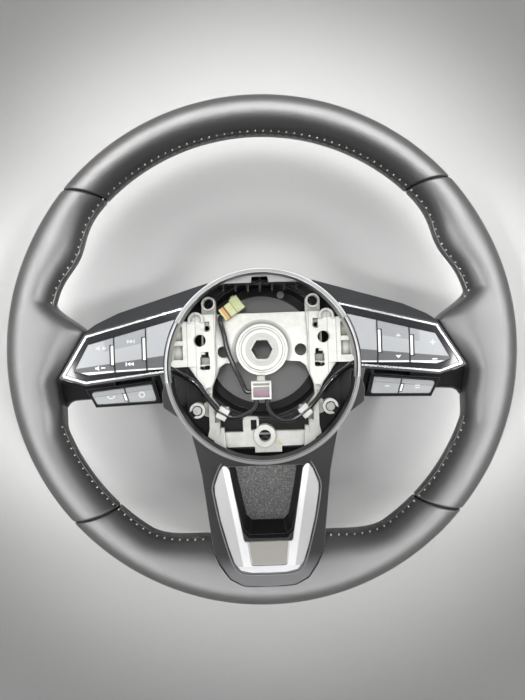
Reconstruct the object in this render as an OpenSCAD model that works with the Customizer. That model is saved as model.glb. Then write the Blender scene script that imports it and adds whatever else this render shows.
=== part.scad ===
// Car steering wheel with three spokes and switches, airbag taken out.
// Millimetres. The column axis is Z, the driver looks down on +Z, twelve o'clock is +Y.
// Z = 0 is the rear face of the hub, where the column's shoulder seats.

/* [Rim] */
// Outside diameter over the leather
rim_od = 370; // [360:1:380]
// Width of the grip at the top, seen from the front
grip_w_top = 29; // [27:0.5:31]
// Width of the grip in the lower half
grip_w_low = 32; // [30:0.5:34]
// Depth of the grip, front to back
grip_depth = 32; // [30:0.5:35]
// How far the thumb rests swell inwards
thumb_swell = 6.5; // [3:0.5:8]
// Angle of the thumb rests above the side spokes
thumb_angle = 28.5; // [26:0.5:31]
// Height of the rim's middle plane above the hub seat
rim_h = 50; // [48:0.5:53]
// Thickness of the leather
leather_t = 1.2; // [0.8:0.1:1.6]
// Width of the grooves between the four leather panels
groove_w = 1.6; // [1:0.1:2.5]
// Angle of the grooves above and below the side spokes
groove_angle = 43.1; // [41:0.5:46]
// Diameter of the cast ring inside the rim
core_d = 12; // [10:0.5:14]

/* [Hub] */
// Width across flats of the hexagon in the hub insert
hex_af = 14.4; // [12:0.1:16]
// Diameter of the hub insert
insert_d = 26; // [24:0.5:30]
// Diameter of the cast boss
boss_d = 40; // [36:1:44]
// Height of the boss
boss_h = 24; // [22:0.5:26]
// Thickness of the cast hub plate
plate_t = 6; // [4:0.5:7]
// Diameter of the two puller holes
puller_d = 9.4; // [8:0.1:10.5]
// Distance between the puller holes
puller_pitch = 60.4; // [56:0.2:64]
// Diameter of the three holes that take the airbag's pins
hook_d = 9.4; // [8:0.1:10.5]
// Distance between the two upper pin holes
hook_pitch = 96; // [92:0.5:98]
// Height of the two upper pin holes above the column axis
hook_up = 8.5; // [6:0.5:10]
// Drop of the lower pin hole below the column axis
hook_down = 67; // [66:0.5:68]
// Diameter of the spring wires behind the pin holes
wire_d = 2.2; // [1.8:0.1:2.8]

/* [Airbag well] */
// Inner diameter of the ring round the well
well_d = 135; // [133:0.5:138]
// Wall of that ring
ring_w = 3.1; // [2.4:0.1:3.6]
// Drop of the ring's centre below the column axis
well_drop = 12; // [11:0.5:13]

/* [Spokes] */
// Height of the side spokes' front above the rim's middle plane
face_up = 8; // [7:0.5:9]
// Slope of the wings' upper bevel in degrees
wing_slope = 32; // [24:1:38]
// Width of the bright trim round each switch panel
trim_w = 1.3; // [1:0.1:1.8]
// Wall of the covers
wall = 2.2; // [1.8:0.1:2.6]
// Depth of the recess in the lower spoke
recess_depth = 25; // [18:1:27]

/* [Switches] */
// Gap round every key
key_gap = 0.5; // [0.4:0.05:0.7]
// Thickness of the key caps
key_t = 2; // [1.6:0.1:2.2]
// Travel of a key pressed at its middle
press_travel = 0.8; // [0.4:0.1:1]
// Slope in degrees of the lower facet of the keys' faces
facet_low = 9; // [4:0.5:10]
// Slope in degrees of their upper facet
facet_up = 4; // [1:0.5:5]
// Width of the bevel along the top of the four lower keys
pod_bevel = 3.5; // [2:0.1:5]
// Slope of that bevel in degrees
facet_pod = 14; // [8:1:20]
// Travel of the four lower keys
pod_travel = 1.2; // [0.6:0.1:1.5]
// Diameter of the pins that the keys rock on
pin_d = 1.6; // [1.2:0.1:1.8]

/* [Rear cover] */
// Diameter of the opening round the column
column_open_d = 90; // [86:1:94]
// Depth of the cover behind the hub seat
cover_back = 22; // [20:0.5:26]
// Spacing of the stiffening ribs at the top
rib_pitch = 9.4; // [7:0.2:12]

/* [Leads] */
// Outside diameter of the sleeved leads
lead_d = 3.8; // [3.4:0.1:4.2]

/* [Hidden] */
$fn = 64;
soft_fn = 24;
eps = 0.02;
clear = 0.4;

// Rim
rim_r = rim_od / 2;
core_r = rim_r - grip_w_top / 2;
face_z = rim_h + face_up;
root_t = 22;
root_low_run = 14;
root_low_r = rim_r - grip_w_low - root_low_run;
foam_gap = 0.5;
groove_skew = 2.7;
section_n = 16;
// Folded angles at which the side leather has a ring, closer where the spoke grows out of it
side_share = [0, 0.08, 0.16, 0.23, 0.28, 0.31, 0.328, 0.345, 0.375, 0.43, 0.48, 0.53, 0.563, 0.58,
              0.592, 0.604, 0.616, 0.63, 0.65, 0.70, 0.75, 0.79, 0.83, 0.87, 0.91, 0.96, 1];
low_share = [0, 0.07, 0.14, 0.19, 0.23, 0.27, 0.31, 0.35, 0.42, 0.5];
top_count = 16;

// Parting plane between the front covers and the rear cover
part_z = rim_h - 10;
lap_z = rim_h + 5;

// The side spokes' lengths run from the ring to the rim, and stretch with it
ring_r = well_d / 2;
ring_out = ring_r + ring_w;
reach = (rim_r - ring_out) / 114.4;
function out(x) = ring_out + (x - 70.6) * reach;

// Switch panel outline, right side, at the face: top inner, top outer, outer corner, lower corner
crease_fall = 0.257;
panel_top = [out(126), 13.9];
panel_out = [out(143.9), -14.8];
panel_low = [out(126.8), -20.3];
panel_low_rise = 0.1115;
rim_lip = 1.6;
panel_dir = (panel_out - panel_top) / norm(panel_out - panel_top);
panel_normal = [-panel_dir[1], panel_dir[0]];
root_line = panel_normal * panel_top + rim_lip + clear;
corner_reach = norm(panel_out) + 2 * rim_lip + 1.2;
key_top = [out(124.5), 7.4];
key_out = [out(134.8), -11.3];
key_low = [out(124.5), -14.2];
key_mid = [out(106), -12.7];
split_blank = out(82.7);
split_keys = out(105.7);
tongue_w = 2.8;
tongue_blank = [3.3, 8];
tongue_keys = [-0.6, 7];
housing_z = face_z - 10.7;
board_z = housing_z + 1.6;
board_t = 1.3;
dome_h = 0.8;
key_z = face_z + 0.4;
pin_z = key_z - key_t - 1.8;
carrier_t = 1.2;
carrier_z = board_z + board_t + dome_h + press_travel + 0.1;
rock_y_inner = 2.2;
rock_y_outer = -1.6;
pin_run = 0.1;
inner_span = [split_blank + key_gap + tongue_w + 0.6, split_keys - 0.3];
outer_span = [split_keys + key_gap + tongue_w + 0.6, out(124)];

// Wing outline above the crease
wing_top = [[38, 49.7], [45.4, 47.5], [out(103), 30], [out(119.5), 22.2], [out(126.9), 16.6]];

// Ring round the well
tub_r = ring_out + 1.8;
ring_top_z = face_z + 0.4;
arc_end = 29;

// Lower spoke
spoke_y = -well_drop - ring_out;
spoke_end = rim_r - 18;
spoke_rise = 9.5;
spoke_tilt = atan(spoke_rise / (spoke_end + spoke_y));
spoke_reach = (spoke_end + spoke_y) / 84.4;
function low(y) = spoke_y + (y + 82.6) * spoke_reach;
low_face_z = face_z - 1.5;
insert_seat = 2;
recess_side = [[27.4, -1.2], [24.5, -18], [20.9, -36], [18.4, -48], [14, -53]];
recess_mouth = [for (k = [0 : 9]) let (q = recess_side[k < 5 ? k : 9 - k])
    [k < 5 ? -q[0] : q[0], q[1] * spoke_reach]];
recess_foot = 40 * spoke_reach;

// Hub casting
plate_z = 14;
plate_top = plate_z + plate_t;
arm_half = 9;
leg_bottom = core_r * 0.97;
hex_r = hex_af / 2 / cos(30);
hook_x = hook_pitch / 2;
ear = [40.4, 36.7];
ear_r = 5.7;
ear_hole_r = 4.05;

// Pods
pod_top = [[out(81), -22.6], [out(125.4), -27.2]];
pod_low = [[out(120.7), -35.8], [out(77.6), -34.5]];
pod_split = [[out(102.6), -20], [out(95.6), -42]];
pod_face = rim_h + 2;
pod_slope = (pod_top[0][1] - pod_top[1][1]) / (pod_top[1][0] - pod_top[0][0]);
pod_back = part_z + 0.3;

// Rear cover
tray_z = 8;
bowl_gap = 14.9;
bowl_r = tub_r - bowl_gap;
bowl_low_r = bowl_r - 3.5;
rear_joint_x = 70;
rear_joint_y = 86;
rear_post = [[out(82), 0, 18.5], [-out(82), 0, 18.5], [0, -73.6, 10]];
rear_post_r = 4.6;
screw_post = [51.5, -45.6];
post_r = 3.3;

// Lead routes, from the switch plug or the airbag connector to the main connector
left_route = [[-75, -10.5, 43.7], [-71.5, -10.8, 43.4], [-67, -12.6, 41.6], [-62.5, -16.2, 36.6],
              [-57, -20, 30], [-51, -25, 27.4], [-45, -33, 25.8], [-39.5, -40.6, 25.2],
              [-35.4, -45.6, 25], [-31.8, -48.3, 25], [-28, -50, 25], [-22, -51.5, 25.4],
              [-15, -49.5, 26.4], [-9, -46, 27.4], [-6, -42, 28], [-5.8, -37.9, 28]];
right_route = [[75, -10.5, 43.7], [71.5, -10.8, 43.4], [67, -12.6, 41.6], [62.5, -16.2, 36.6],
               [56, -21.5, 30], [49, -29, 27.2], [43.4, -36.4, 25.6], [37.5, -43.4, 25],
               [31.8, -48.3, 25], [26, -52.5, 25], [20, -55, 25.4], [13, -54.5, 26.4],
               [7, -50.5, 27.4], [3.2, -44.5, 28], [2.8, -37.9, 28]];
airbag_route = [[-29.9, 26.8, 24.4], [-31.4, 24.8, 24], [-31.2, 21.5, 23.2], [-29.8, 16, 22.6],
                [-28.5, 10, 22.4], [-27.6, 4, 22.4], [-25.4, -3.5, 22.8], [-22, -12.5, 23.6],
                [-17.8, -21.5, 25], [-15, -28, 26.4], [-13, -31.6, 27], [-9.3, -32.4, 27]];

// Small helpers
function mix(a, b, t) = a + (b - a) * t;
function ramp(x, a, b) = let (t = max(0, min(1, (x - a) / (b - a)))) t * t * (3 - 2 * t);
function bell(x, w) = exp(-pow(x / w, 2));
module both() {
    children();
    mirror([1, 0, 0]) children();
}
module slab(z0, z1) {
    translate([0, 0, z0]) linear_extrude(z1 - z0) children();
}
module rounded(r) {
    offset(r = r, $fn = soft_fn) offset(delta = -r) children();
}

// Rim outline: half width of the grip, and how far its inner side reaches at the spokes.
// f is the ring angle folded to the right half, -90 at six o'clock to 90 at twelve.
function fold(t) = let (u = (t + 450) % 360) u <= 180 ? u - 90 : 270 - u;
function grip_half(f) = mix(grip_w_low, grip_w_top, ramp(f, -5, 50)) / 2
    + thumb_swell / 2 * bell(f - thumb_angle, 7.5);
function side_root(f) = ramp(f, 11, 7.6) * ramp(f, -17.5, -13);
function low_root(f) = ramp(f, -56, -76);
function side_reach(f) = min(corner_reach, root_line / (panel_normal * [cos(f), sin(f)]));
function rim_point(t, p, e) =
    let (f = fold(t), a = grip_half(f), w = side_root(f), v = low_root(f), c = cos(p), s = sin(p),
         inner = rim_r - 2 * a,
         reach = inner + w * (side_reach(f) - inner) + v * (root_low_r - inner),
         mid = rim_r - a,
         n = 2 + 3 * max(w, v),
         back = c < 0,
         r = back ? mid - (mid - reach - e) * pow(-c, 2 / n) : mid + (a - e) * c,
         b = mix(grip_depth / 2, root_t / 2, max(w, v) * ramp(-c, 0, 0.9)) - e,
         z = b * sign(s) * pow(abs(s), back ? 2 / n : 1))
    [r * cos(t), r * sin(t), rim_h + z];

// Faces of a tube of m rings with k points each, open or closed along its length
function strip(m, k, base, flip, closed) =
    [for (i = [0 : m - (closed ? 1 : 2)], j = [0 : k - 1])
        let (i2 = (i + 1) % m, j2 = (j + 1) % k,
             a = base + i * k + j, b = base + i * k + j2, c = base + i2 * k + j2, d = base + i2 * k + j)
        each flip ? [[a, b, c], [a, c, d]] : [[a, c, b], [a, d, c]]];
function ends(k, base, far) = [for (j = [0 : k - 1])
    let (j2 = (j + 1) % k, a = far + j, b = far + j2, c = base + j2, d = base + j)
    each [[a, b, c], [a, c, d]]];

// Leather panel between two groove angles, each a function of the section angle
function groove_at(p) = groove_angle - groove_skew * cos(p);
function panel_angle(kind, u, p) =
    let (g = groove_at(p), h = groove_w / core_r * 90 / PI)
    kind == "top" ? mix(g + h, 180 - g - h, u)
    : kind == "bottom" ? mix(180 + g + h, 360 - g - h, u)
    : kind == "left" ? 180 + mix(-g + h, g - h, u)
    : mix(-g + h, g - h, u);
function panel_rings(kind, shares, e) = [for (u = shares, j = [0 : section_n - 1])
    let (p = j * 360 / section_n) rim_point(panel_angle(kind, u, p), p, e)];
module leather_panel(kind, shares) {
    m = len(shares);
    k = section_n;
    polyhedron(points = concat(panel_rings(kind, shares, 0), panel_rings(kind, shares, leather_t)),
        faces = concat(strip(m, k, 0, true, false), strip(m, k, m * k, false, false),
                       ends(k, 0, m * k), ends(k, 2 * m * k - k, m * k - k)));
}
function even(n) = [for (i = [0 : n]) i / n];
function mirrored(list) = concat(list, [for (i = [len(list) - 2 : -1 : 0]) 1 - list[i]]);
function backward(list) = [for (i = [len(list) - 1 : -1 : 0]) 1 - list[i]];

// Slots that the casting's arms need through foam and leather
module arm_slots(gap) {
    both() {
        arm_profile_solid(gap);
    }
    both() leg_solid(gap);
}
module rim_cuts() {
    arm_slots(clear);
    // seat of the lower spoke's frame in the front of the rim
    slab(lap_z - clear, rim_h + 40) offset(delta = clear) frame_lap_2d();
}
module leather_top() color([0.09, 0.088, 0.088]) leather_panel("top", even(top_count));
module leather_bottom() color([0.09, 0.088, 0.088]) difference() {
    leather_panel("bottom", mirrored(low_share));
    rim_cuts();
}
module leather_right() color([0.09, 0.088, 0.088]) difference() {
    leather_panel("side", side_share);
    rim_cuts();
}
module leather_left() mirror([1, 0, 0]) leather_right();

module rim_foam() color([0.16, 0.16, 0.16]) {
    e = leather_t + foam_gap;
    low = mirrored(low_share);
    m = 2 * len(side_share) + top_count + 1 + len(low);
    difference() {
        polyhedron(
            points = concat(panel_rings("side", side_share, e), panel_rings("top", even(top_count), e),
                            panel_rings("left", backward(side_share), e), panel_rings("bottom", low, e)),
            faces = strip(m, section_n, 0, true, true));
        translate([0, 0, rim_h]) rotate_extrude() translate([core_r, 0]) circle(d = core_d + 0.2);
        rim_cuts();
    }
}

// Casting: ring, two side arms, two lower legs and the hub plate
// Underside of a side arm between the bend by the ring and the one by the rim
function arm_under(x) = mix(mix(plate_z, rim_h - 13, 0.48), rim_h - 13, (x - 75) / (out(140) - 75));
module arm_plan_2d(gap) {
    offset(delta = gap) polygon([[44, 23.5], [70, 23.5], [out(92), arm_half], [core_r, arm_half],
        [core_r, -arm_half], [out(92), -arm_half - 1], [70, -11.5], [44, -11.5]]);
}
module arm_profile_solid(gap) {
    intersection() {
        slab(0, rim_h + 20) arm_plan_2d(gap);
        translate([0, 60, 0]) rotate([90, 0, 0]) linear_extrude(120) offset(delta = gap)
            polygon([[44, plate_z], [60, plate_z + 3], [75, arm_under(75)], [out(140), arm_under(out(140))],
                [out(156), rim_h - 5], [core_r, rim_h - 5], [core_r, rim_h + 5], [out(155), rim_h + 4],
                [out(146), rim_h - 4], [76, mix(plate_top + 2, rim_h - 4, 0.5)], [60, plate_top + 5],
                [44, plate_top + 2]]);
    }
}
module leg_solid(gap) {
    intersection() {
        slab(0, rim_h + 20) offset(delta = gap)
            polygon([[31.5, -60], [40, -60], [34, 30 - leg_bottom], [32, -leg_bottom], [24, -leg_bottom],
                [26, 30 - leg_bottom]]);
        translate([-60, 0, 0]) rotate([90, 0, 90]) linear_extrude(120) offset(delta = gap)
            polygon([[-60, plate_z], [-78, plate_z + 2.5], [35 - leg_bottom, rim_h - 11],
                [15 - leg_bottom, rim_h - 5], [-leg_bottom, rim_h - 5], [-leg_bottom, rim_h + 4.5],
                [17 - leg_bottom, rim_h + 4], [31 - leg_bottom, rim_h - 2],
                [-82, plate_top + 5], [-60, plate_top + 2]]);
    }
}
module plate_2d() {
    difference() {
        union() {
            both() polygon([[0, 28.5], [54, 28.5], [56.5, 23.5], [62, 23.5], [62, -11.5], [58, -11.5],
                [52.5, -18.7], [46.8, -26.2], [42.5, -36], [42.5, -60], [45, -70.5], [36, -75.4],
                [0, -75.4]]);
            both() hull() {
                translate(ear) circle(r = ear_r);
                translate([ear[0], 28]) circle(r = ear_r);
            }
            translate([0, -hook_down]) circle(r = hook_d / 2 + 4.2);
            translate([2.5, -76.5]) square([21, 7], center = true);
        }
        difference() {
            both() polygon([[0, -8], [29.4, -10], [33.9, -13.3], [39.7, -28.4], [40.2, -36],
                [34.5, -44], [34.5, -63.7], [0, -63.7]]);
            circle(d = boss_d);
            translate([0, -hook_down]) circle(r = hook_d / 2 + 4.2);
            translate([-10.6, -60]) rounded(3) square([12.5, 16], center = true);
            both() translate([32, -48.3]) square([9, 8.4], center = true);
        }
        translate([-8.5, -58.5]) square([4.6, 8], center = true);
        both() {
            translate([42.5, 18.1]) circle(r = 1.9);
            translate([hook_x, hook_up]) circle(d = hook_d);
            translate([puller_pitch / 2, -1]) circle(d = puller_d);
            translate([44.4, -2]) square([6, 3.2], center = true);
            translate([44.4, -12.4]) square([7.6, 3], center = true);
        }
        translate([0, -hook_down]) circle(d = hook_d);
        translate([0, 0]) circle(d = insert_d);
    }
}
module hub_casting() {
    slab(plate_z, plate_top) plate_2d();
    // boss and the raised collar round the insert
    cylinder(d = boss_d, h = boss_h - 1.5);
    cylinder(d = insert_d + 6, h = boss_h);
    both() {
        // raised side columns with the arched pockets for the spring wires
        slab(plate_top - 1, plate_top + 3) side_column_2d();
        translate([50.4, 24.4, plate_top - 1]) difference() {
            cylinder(r = 6, h = 7);
            translate([0, 0, -1]) cylinder(r = 4.2, h = 9);
            translate([-8, -8, -1]) cube([16, 6, 9]);
        }
        translate([ear[0], ear[1], plate_top - 1]) cylinder(r = ear_r - 0.4, h = 6);
        // hooks that wrap the rear cover's posts
        translate([screw_post[0], screw_post[1], plate_z]) difference() {
            cylinder(r = 6, h = plate_t + 4);
            translate([0, 0, -1]) cylinder(r = post_r + 0.6, h = plate_t + 6);
            rotate([0, 0, -35]) translate([0, -2.6, -1]) cube([12, 5.2, plate_t + 6]);
        }
        slab(plate_z, plate_top) polygon([[41, -38], [46.5, -40.5], [46.5, -50], [41, -52]]);
    }
    translate([0, -hook_down, plate_top - 1]) cylinder(d = hook_d + 8, h = 3);
}
module armature() color([0.83, 0.83, 0.79]) {
    difference() {
        union() {
            intersection() {
                hub_casting();
                translate([0, -well_drop, -1]) cylinder(r = tub_r - wall - 0.6, h = 60, $fn = 128);
            }
            both() arm_profile_solid(0);
            both() leg_solid(0);
            translate([0, 0, rim_h]) rotate_extrude() translate([core_r, 0]) circle(d = core_d);
        }
        // clear ways for the insert, the pins and the puller
        translate([0, 0, -1]) cylinder(d = insert_d, h = boss_h + 2);
        both() translate([hook_x, hook_up, 0]) cylinder(d = hook_d, h = 60);
        both() translate([puller_pitch / 2, -1, 0]) cylinder(d = puller_d, h = 60);
        translate([0, -hook_down, 0]) cylinder(d = hook_d, h = 60);
        both() translate([ear[0], ear[1], 0]) cylinder(r = ear_hole_r, h = 60);
        for (q = rear_post) translate([q[0], q[1], 0]) cylinder(r = 1.6, h = q[2] + (q[1] == 0 ? 11.5 : 9));
        // cored pockets in the side arms
        both() translate([61, -6, plate_top + 2]) cube([7, 11, 20]);
        both() translate([61, 8.5, plate_top + 2]) cube([7, 11, 20]);
        both() slab(plate_z + 2, rim_h) translate([44.4, -7.2]) square([7.6, 6], center = true);
    }
}
module side_column_2d() {
    difference() {
        polygon([[35, 28.5], [54, 28.5], [56.5, 23.5], [56.5, -11.5], [52.5, -18.7], [46.8, -26.2],
            [42.5, -36], [42.5, -60], [45, -70.5], [36, -75.4], [34.5, -63.7], [34.5, -44], [40.2, -36],
            [39.7, -28.4], [36, -16], [36, 10]]);
        offset(r = -3) polygon([[37, 26], [54, 26], [54, 14], [37, 14]]);
        translate([42.5, 18.1]) circle(r = 3);
        translate([44.4, -2]) square([6, 3.2], center = true);
        translate([44.4, -12.4]) square([7.6, 3], center = true);
        translate([42, -31]) circle(r = 3);
        translate([31.8, -48.3]) square([13, 14], center = true);
    }
}
module hub_insert() color([0.6, 0.6, 0.58]) difference() {
    union() {
        cylinder(d = insert_d - 0.2, h = boss_h);
        cylinder(d = insert_d - 6, h = boss_h + 1);
    }
    translate([0, 0, -1]) cylinder(r = hex_r, h = boss_h + 3, $fn = 6);
}

// Upper bezel: two wings and the arc over the well, one moulding
module well_cut(extra) {
    translate([0, -well_drop]) circle(r = ring_out + extra, $fn = 128);
}
module panel_2d() {
    polygon([[50, panel_top[1] + crease_fall * (panel_top[0] - 50)], panel_top, panel_out, panel_low,
        [50, panel_low[1] + panel_low_rise * (panel_low[0] - 50)]]);
}
module wing_2d() {
    difference() {
        union() {
            offset(delta = rim_lip) panel_2d();
            polygon(concat(wing_top, [[panel_top[0] + 0.4, 12], [60, 20]]));
        }
        translate([0, -well_drop]) circle(r = ring_out - 1, $fn = 128);
    }
}
module ring_sector(r_in, r_out, z0, z1, a0, a1) {
    translate([0, -well_drop, 0]) rotate([0, 0, a0]) rotate_extrude(angle = a1 - a0, $fn = 128)
        translate([r_in, z0]) square([r_out - r_in, z1 - z0]);
}
module bevel_cut() {
    translate([panel_top[0], panel_top[1] + 1, face_z]) rotate([0, 0, -atan(crease_fall)])
        rotate([-wing_slope, 0, 0]) translate([-110, 0, 0]) cube([130, 70, 40]);
}
module upper_bezel() color([0.2, 0.2, 0.21]) {
    difference() {
        union() {
            both() difference() {
                slab(part_z, face_z) wing_2d();
                slab(part_z - 1, face_z + 1) panel_2d();
                bevel_cut();
                translate([0, 0, -wall]) difference() {
                    slab(part_z - 1, face_z) offset(delta = -wall) wing_2d();
                    bevel_cut();
                }
            }
            ring_sector(ring_r, ring_out, part_z, ring_top_z, arc_end, 180 - arc_end);
        }
        ring_sector(ring_r - 3, ring_out + 0.3, part_z - 1, face_z + 2, -60, arc_end - 0.01);
        mirror([1, 0, 0])
            ring_sector(ring_r - 3, ring_out + 0.3, part_z - 1, face_z + 2, -60, arc_end - 0.01);
        both() arm_profile_solid(clear);
        // the blank plates' corners run under the arc
        both() slab(part_z - 1, face_z + 2) difference() {
            offset(delta = 0.01) panel_2d();
            well_cut(0);
        }
    }
    // screw flange inside the arc, notched for the connector
    slab(part_z + 3, part_z + 5) difference() {
        translate([0, -well_drop]) circle(r = ring_r + 0.5, $fn = 128);
        translate([-80, -120]) square([160, 169.6]);
        polygon([[-7.5, 40], [-5.8, 54], [5.8, 54], [7.5, 40]]);
    }
}

// Lower cover: ring round the well, shoulders, recess and frame of the lower spoke
module on_spoke() {
    translate([0, spoke_y, low_face_z]) rotate([-spoke_tilt, 0, 0]) children();
}
module cover_half_2d() {
    polygon([[0, spoke_y + 4], [60, -16], [69.5, -17], [73, -30], [72.4, -39.5], [54.4, -52.5], [50, -71],
        [46.2, low(-89)], [40.6, low(-131.5)], [39.6, low(-141)], [34, low(-152)],
        [27.5, low(-161)], [18, low(-166)], [0, -spoke_end]]);
}
module cover_2d() {
    rounded(3) both() cover_half_2d();
}
module frame_lap_2d() {
    intersection() {
        cover_2d();
        translate([-60, -rim_r]) square([120, rim_r - root_low_r * 0.93]);
    }
}
module lower_body(e) {
    // everything under the sloping front, moved in by e
    intersection() {
        slab(part_z, rim_h + 40) offset(delta = -e) difference() {
            cover_2d();
            both() offset(delta = 0.3) wing_2d();
        }
        translate([-90, 0, 0]) rotate([90, 0, 90]) linear_extrude(180)
            polygon([[0, part_z - 5], [0, low_face_z - e], [spoke_y, low_face_z - e],
                [-spoke_end - 1, low_face_z + spoke_rise - e], [-spoke_end - 1, part_z - 5]]);
    }
}
// Recess: floor and mouth outlines have the same corner count
function widen(q, grow) = [q[0] + sign(q[0]) * grow, q[1] - (q[1] < -recess_foot ? grow : 0)];
module recess(grow, deep) {
    foot = [for (q = recess_mouth) [q[0] * 0.86, q[1] * 0.8]];
    k = len(recess_mouth);
    on_spoke() polyhedron(
        points = concat([for (q = foot) concat(widen(q, grow), -deep)],
                        [for (q = recess_mouth) concat(widen(q, grow), 3)]),
        faces = concat([[for (i = [0 : k - 1]) i]], [[for (i = [k - 1 : -1 : 0]) k + i]],
            [for (i = [0 : k - 1]) let (j = (i + 1) % k) each [[i, k + i, k + j], [i, k + j, j]]]));
}
module lower_cover() color([0.07, 0.07, 0.072]) {
    difference() {
        union() {
            difference() {
                lower_body(0);
                translate([0, 0, -1]) lower_body(wall);
                translate([0, -well_drop, 0]) cylinder(r = ring_out - 0.8, h = 200, $fn = 128);
            }
            intersection() {
                recess(wall, recess_depth + wall);
                slab(0, low_face_z) square([200, 400], center = true);
            }
            ring_sector(ring_r, ring_out, part_z + 0.2, low_face_z + 1, 180 - arc_end + 0.3, 360 + arc_end - 0.3);
        }
        recess(0, recess_depth);
        // seat on the rim and on the rear cover
        slab(0, lap_z) difference() {
            circle(r = rim_r + 20);
            circle(r = root_low_r - clear, $fn = 128);
        }
        both() slab(0, 90) difference() {
            panel_2d();
            well_cut(0);
        }
        on_spoke() translate([0, 0, -insert_seat]) linear_extrude(10) insert_2d(0.15);
        // ways for the leads through the ring wall
        both() ring_sector(ring_r - 3, ring_out + 4, part_z - 9, part_z + 7, -9.7, 4.2);
    }
}
module insert_2d(e) {
    k = spoke_reach;
    offset(delta = e) difference() {
        rounded(2.2) both() polygon([[0, -40 * k], [26.5, -3.5 * k], [30, 1.2], [33.5, -4 * k],
            [37.2, -14 * k], [37, -20 * k], [33.5, -38 * k], [28.5, -56 * k], [24.4, -68 * k],
            [20, -73.3 * k], [12, -75 * k], [0, -75.2 * k]]);
        rounded(2) polygon([[-28.6, 8], [-17.2, -54 * k], [17.2, -54 * k], [28.6, 8]]);
    }
}
module spoke_insert() color([0.78, 0.78, 0.79]) {
    on_spoke() difference() {
        translate([0, 0, -insert_seat]) linear_extrude(insert_seat + 0.8) insert_2d(0);
        translate([0, -62.4 * spoke_reach, -0.4]) linear_extrude(3) rounded(1.8)
            polygon([[-15, 9.5], [15, 9.5], [12.6, -8], [-12.6, -8]]);
    }
}

// Rear cover: bowl round the column, tray behind the spokes, open to the front
module tray_2d(e) {
    offset(delta = -e - 0.8) difference() {
        offset(delta = -2) offset(delta = 2) union() {
            translate([0, -well_drop]) circle(r = tub_r + 0.8, $fn = 128);
            both() wing_2d();
            both() pod_2d();
            cover_2d();
        }
        translate([-70, -root_low_r - 60]) square([140, 64]);
    }
}
module tray_solid(e) {
    intersection() {
        slab(tray_z + e, part_z) tray_2d(e);
        translate([0, 90, 0]) rotate([90, 0, 0]) linear_extrude(260)
            polygon([[-out(170), rim_h - 14 + e], [-out(142), rim_h - 16 + e], [-68, tray_z + 4 + e],
                [-60, tray_z + e], [60, tray_z + e], [68, tray_z + 4 + e], [out(142), rim_h - 16 + e],
                [out(170), rim_h - 14 + e], [out(170), part_z + 1], [-out(170), part_z + 1]]);
        translate([-180, 0, 0]) rotate([90, 0, 90]) linear_extrude(360)
            polygon([[90, tray_z + e], [-78, tray_z + e], [low(-84), tray_z + 5 + e],
                [low(-136), rim_h - 18 + e], [low(-160), rim_h - 17 + e], [low(-160), part_z + 1],
                [90, part_z + 1]]);
    }
}
module rear_shell() {
    difference() {
        union() {
            difference() {
                tray_solid(0);
                tray_solid(wall);
                slab(part_z - wall, part_z + 1) tray_2d(wall);
            }
            rotate_extrude($fn = 128) polygon([[column_open_d / 2, -cover_back],
                [bowl_low_r, -cover_back], [bowl_r, tray_z + wall], [bowl_r - wall, tray_z + wall],
                [bowl_low_r - wall, -cover_back + wall], [column_open_d / 2, -cover_back + wall]]);
            // posts for the front screws and ribs under the arc
            both() translate([screw_post[0], screw_post[1], tray_z + eps])
                cylinder(r = post_r, h = plate_top - tray_z + 3 - eps);
            for (i = [-3 : 3]) rear_rib(i * rib_pitch);
            translate([-32, 50.4, tray_z + wall - eps]) cube([64, 1.2, 15]);
            for (q = rear_post) translate([q[0], q[1], q[2] - 4])
                cylinder(r = rear_post_r, h = 4 - q[2]
                    + (q[1] == 0 ? arm_under(abs(q[0]) + rear_post_r) + 1 : plate_z - 0.3));
        }
        both() arm_profile_solid(clear);
        both() leg_solid(clear);
        // room for the floor of the lower spoke's recess
        recess(wall + clear, recess_depth + wall + clear);
        for (q = rear_post) translate([q[0], q[1], 0]) {
            cylinder(r = 3.3, h = q[2]);
            cylinder(r = 1.7, h = 40);
        }
        translate([0, 0, -eps]) cylinder(r = bowl_r - wall, h = tray_z + wall + 1, $fn = 128);
        both() translate([screw_post[0], screw_post[1], 10]) cylinder(r = 1.6, h = 30);
    }
}
// The rear cover is joined from a tub, two wings and a leg
module rear_cover() color([0.06, 0.06, 0.062]) intersection() {
    rear_shell();
    translate([-rear_joint_x, -rear_joint_y, -100]) cube([2 * rear_joint_x, 300, 200]);
}
module rear_wing_right() color([0.06, 0.06, 0.062]) intersection() {
    rear_shell();
    translate([rear_joint_x, -rear_joint_y, -100]) cube([200, 300, 200]);
}
module rear_wing_left() mirror([1, 0, 0]) rear_wing_right();
module rear_leg() color([0.06, 0.06, 0.062]) intersection() {
    rear_shell();
    translate([-150, -rear_joint_y - 200, -100]) cube([300, 200, 200]);
}
module rear_rib(x) {
    top = sqrt(pow(tub_r - wall + 0.3, 2) - x * x) - well_drop;
    translate([x - 0.6, 46, tray_z + wall - eps]) cube([1.2, top - 46, 18]);
}

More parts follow.
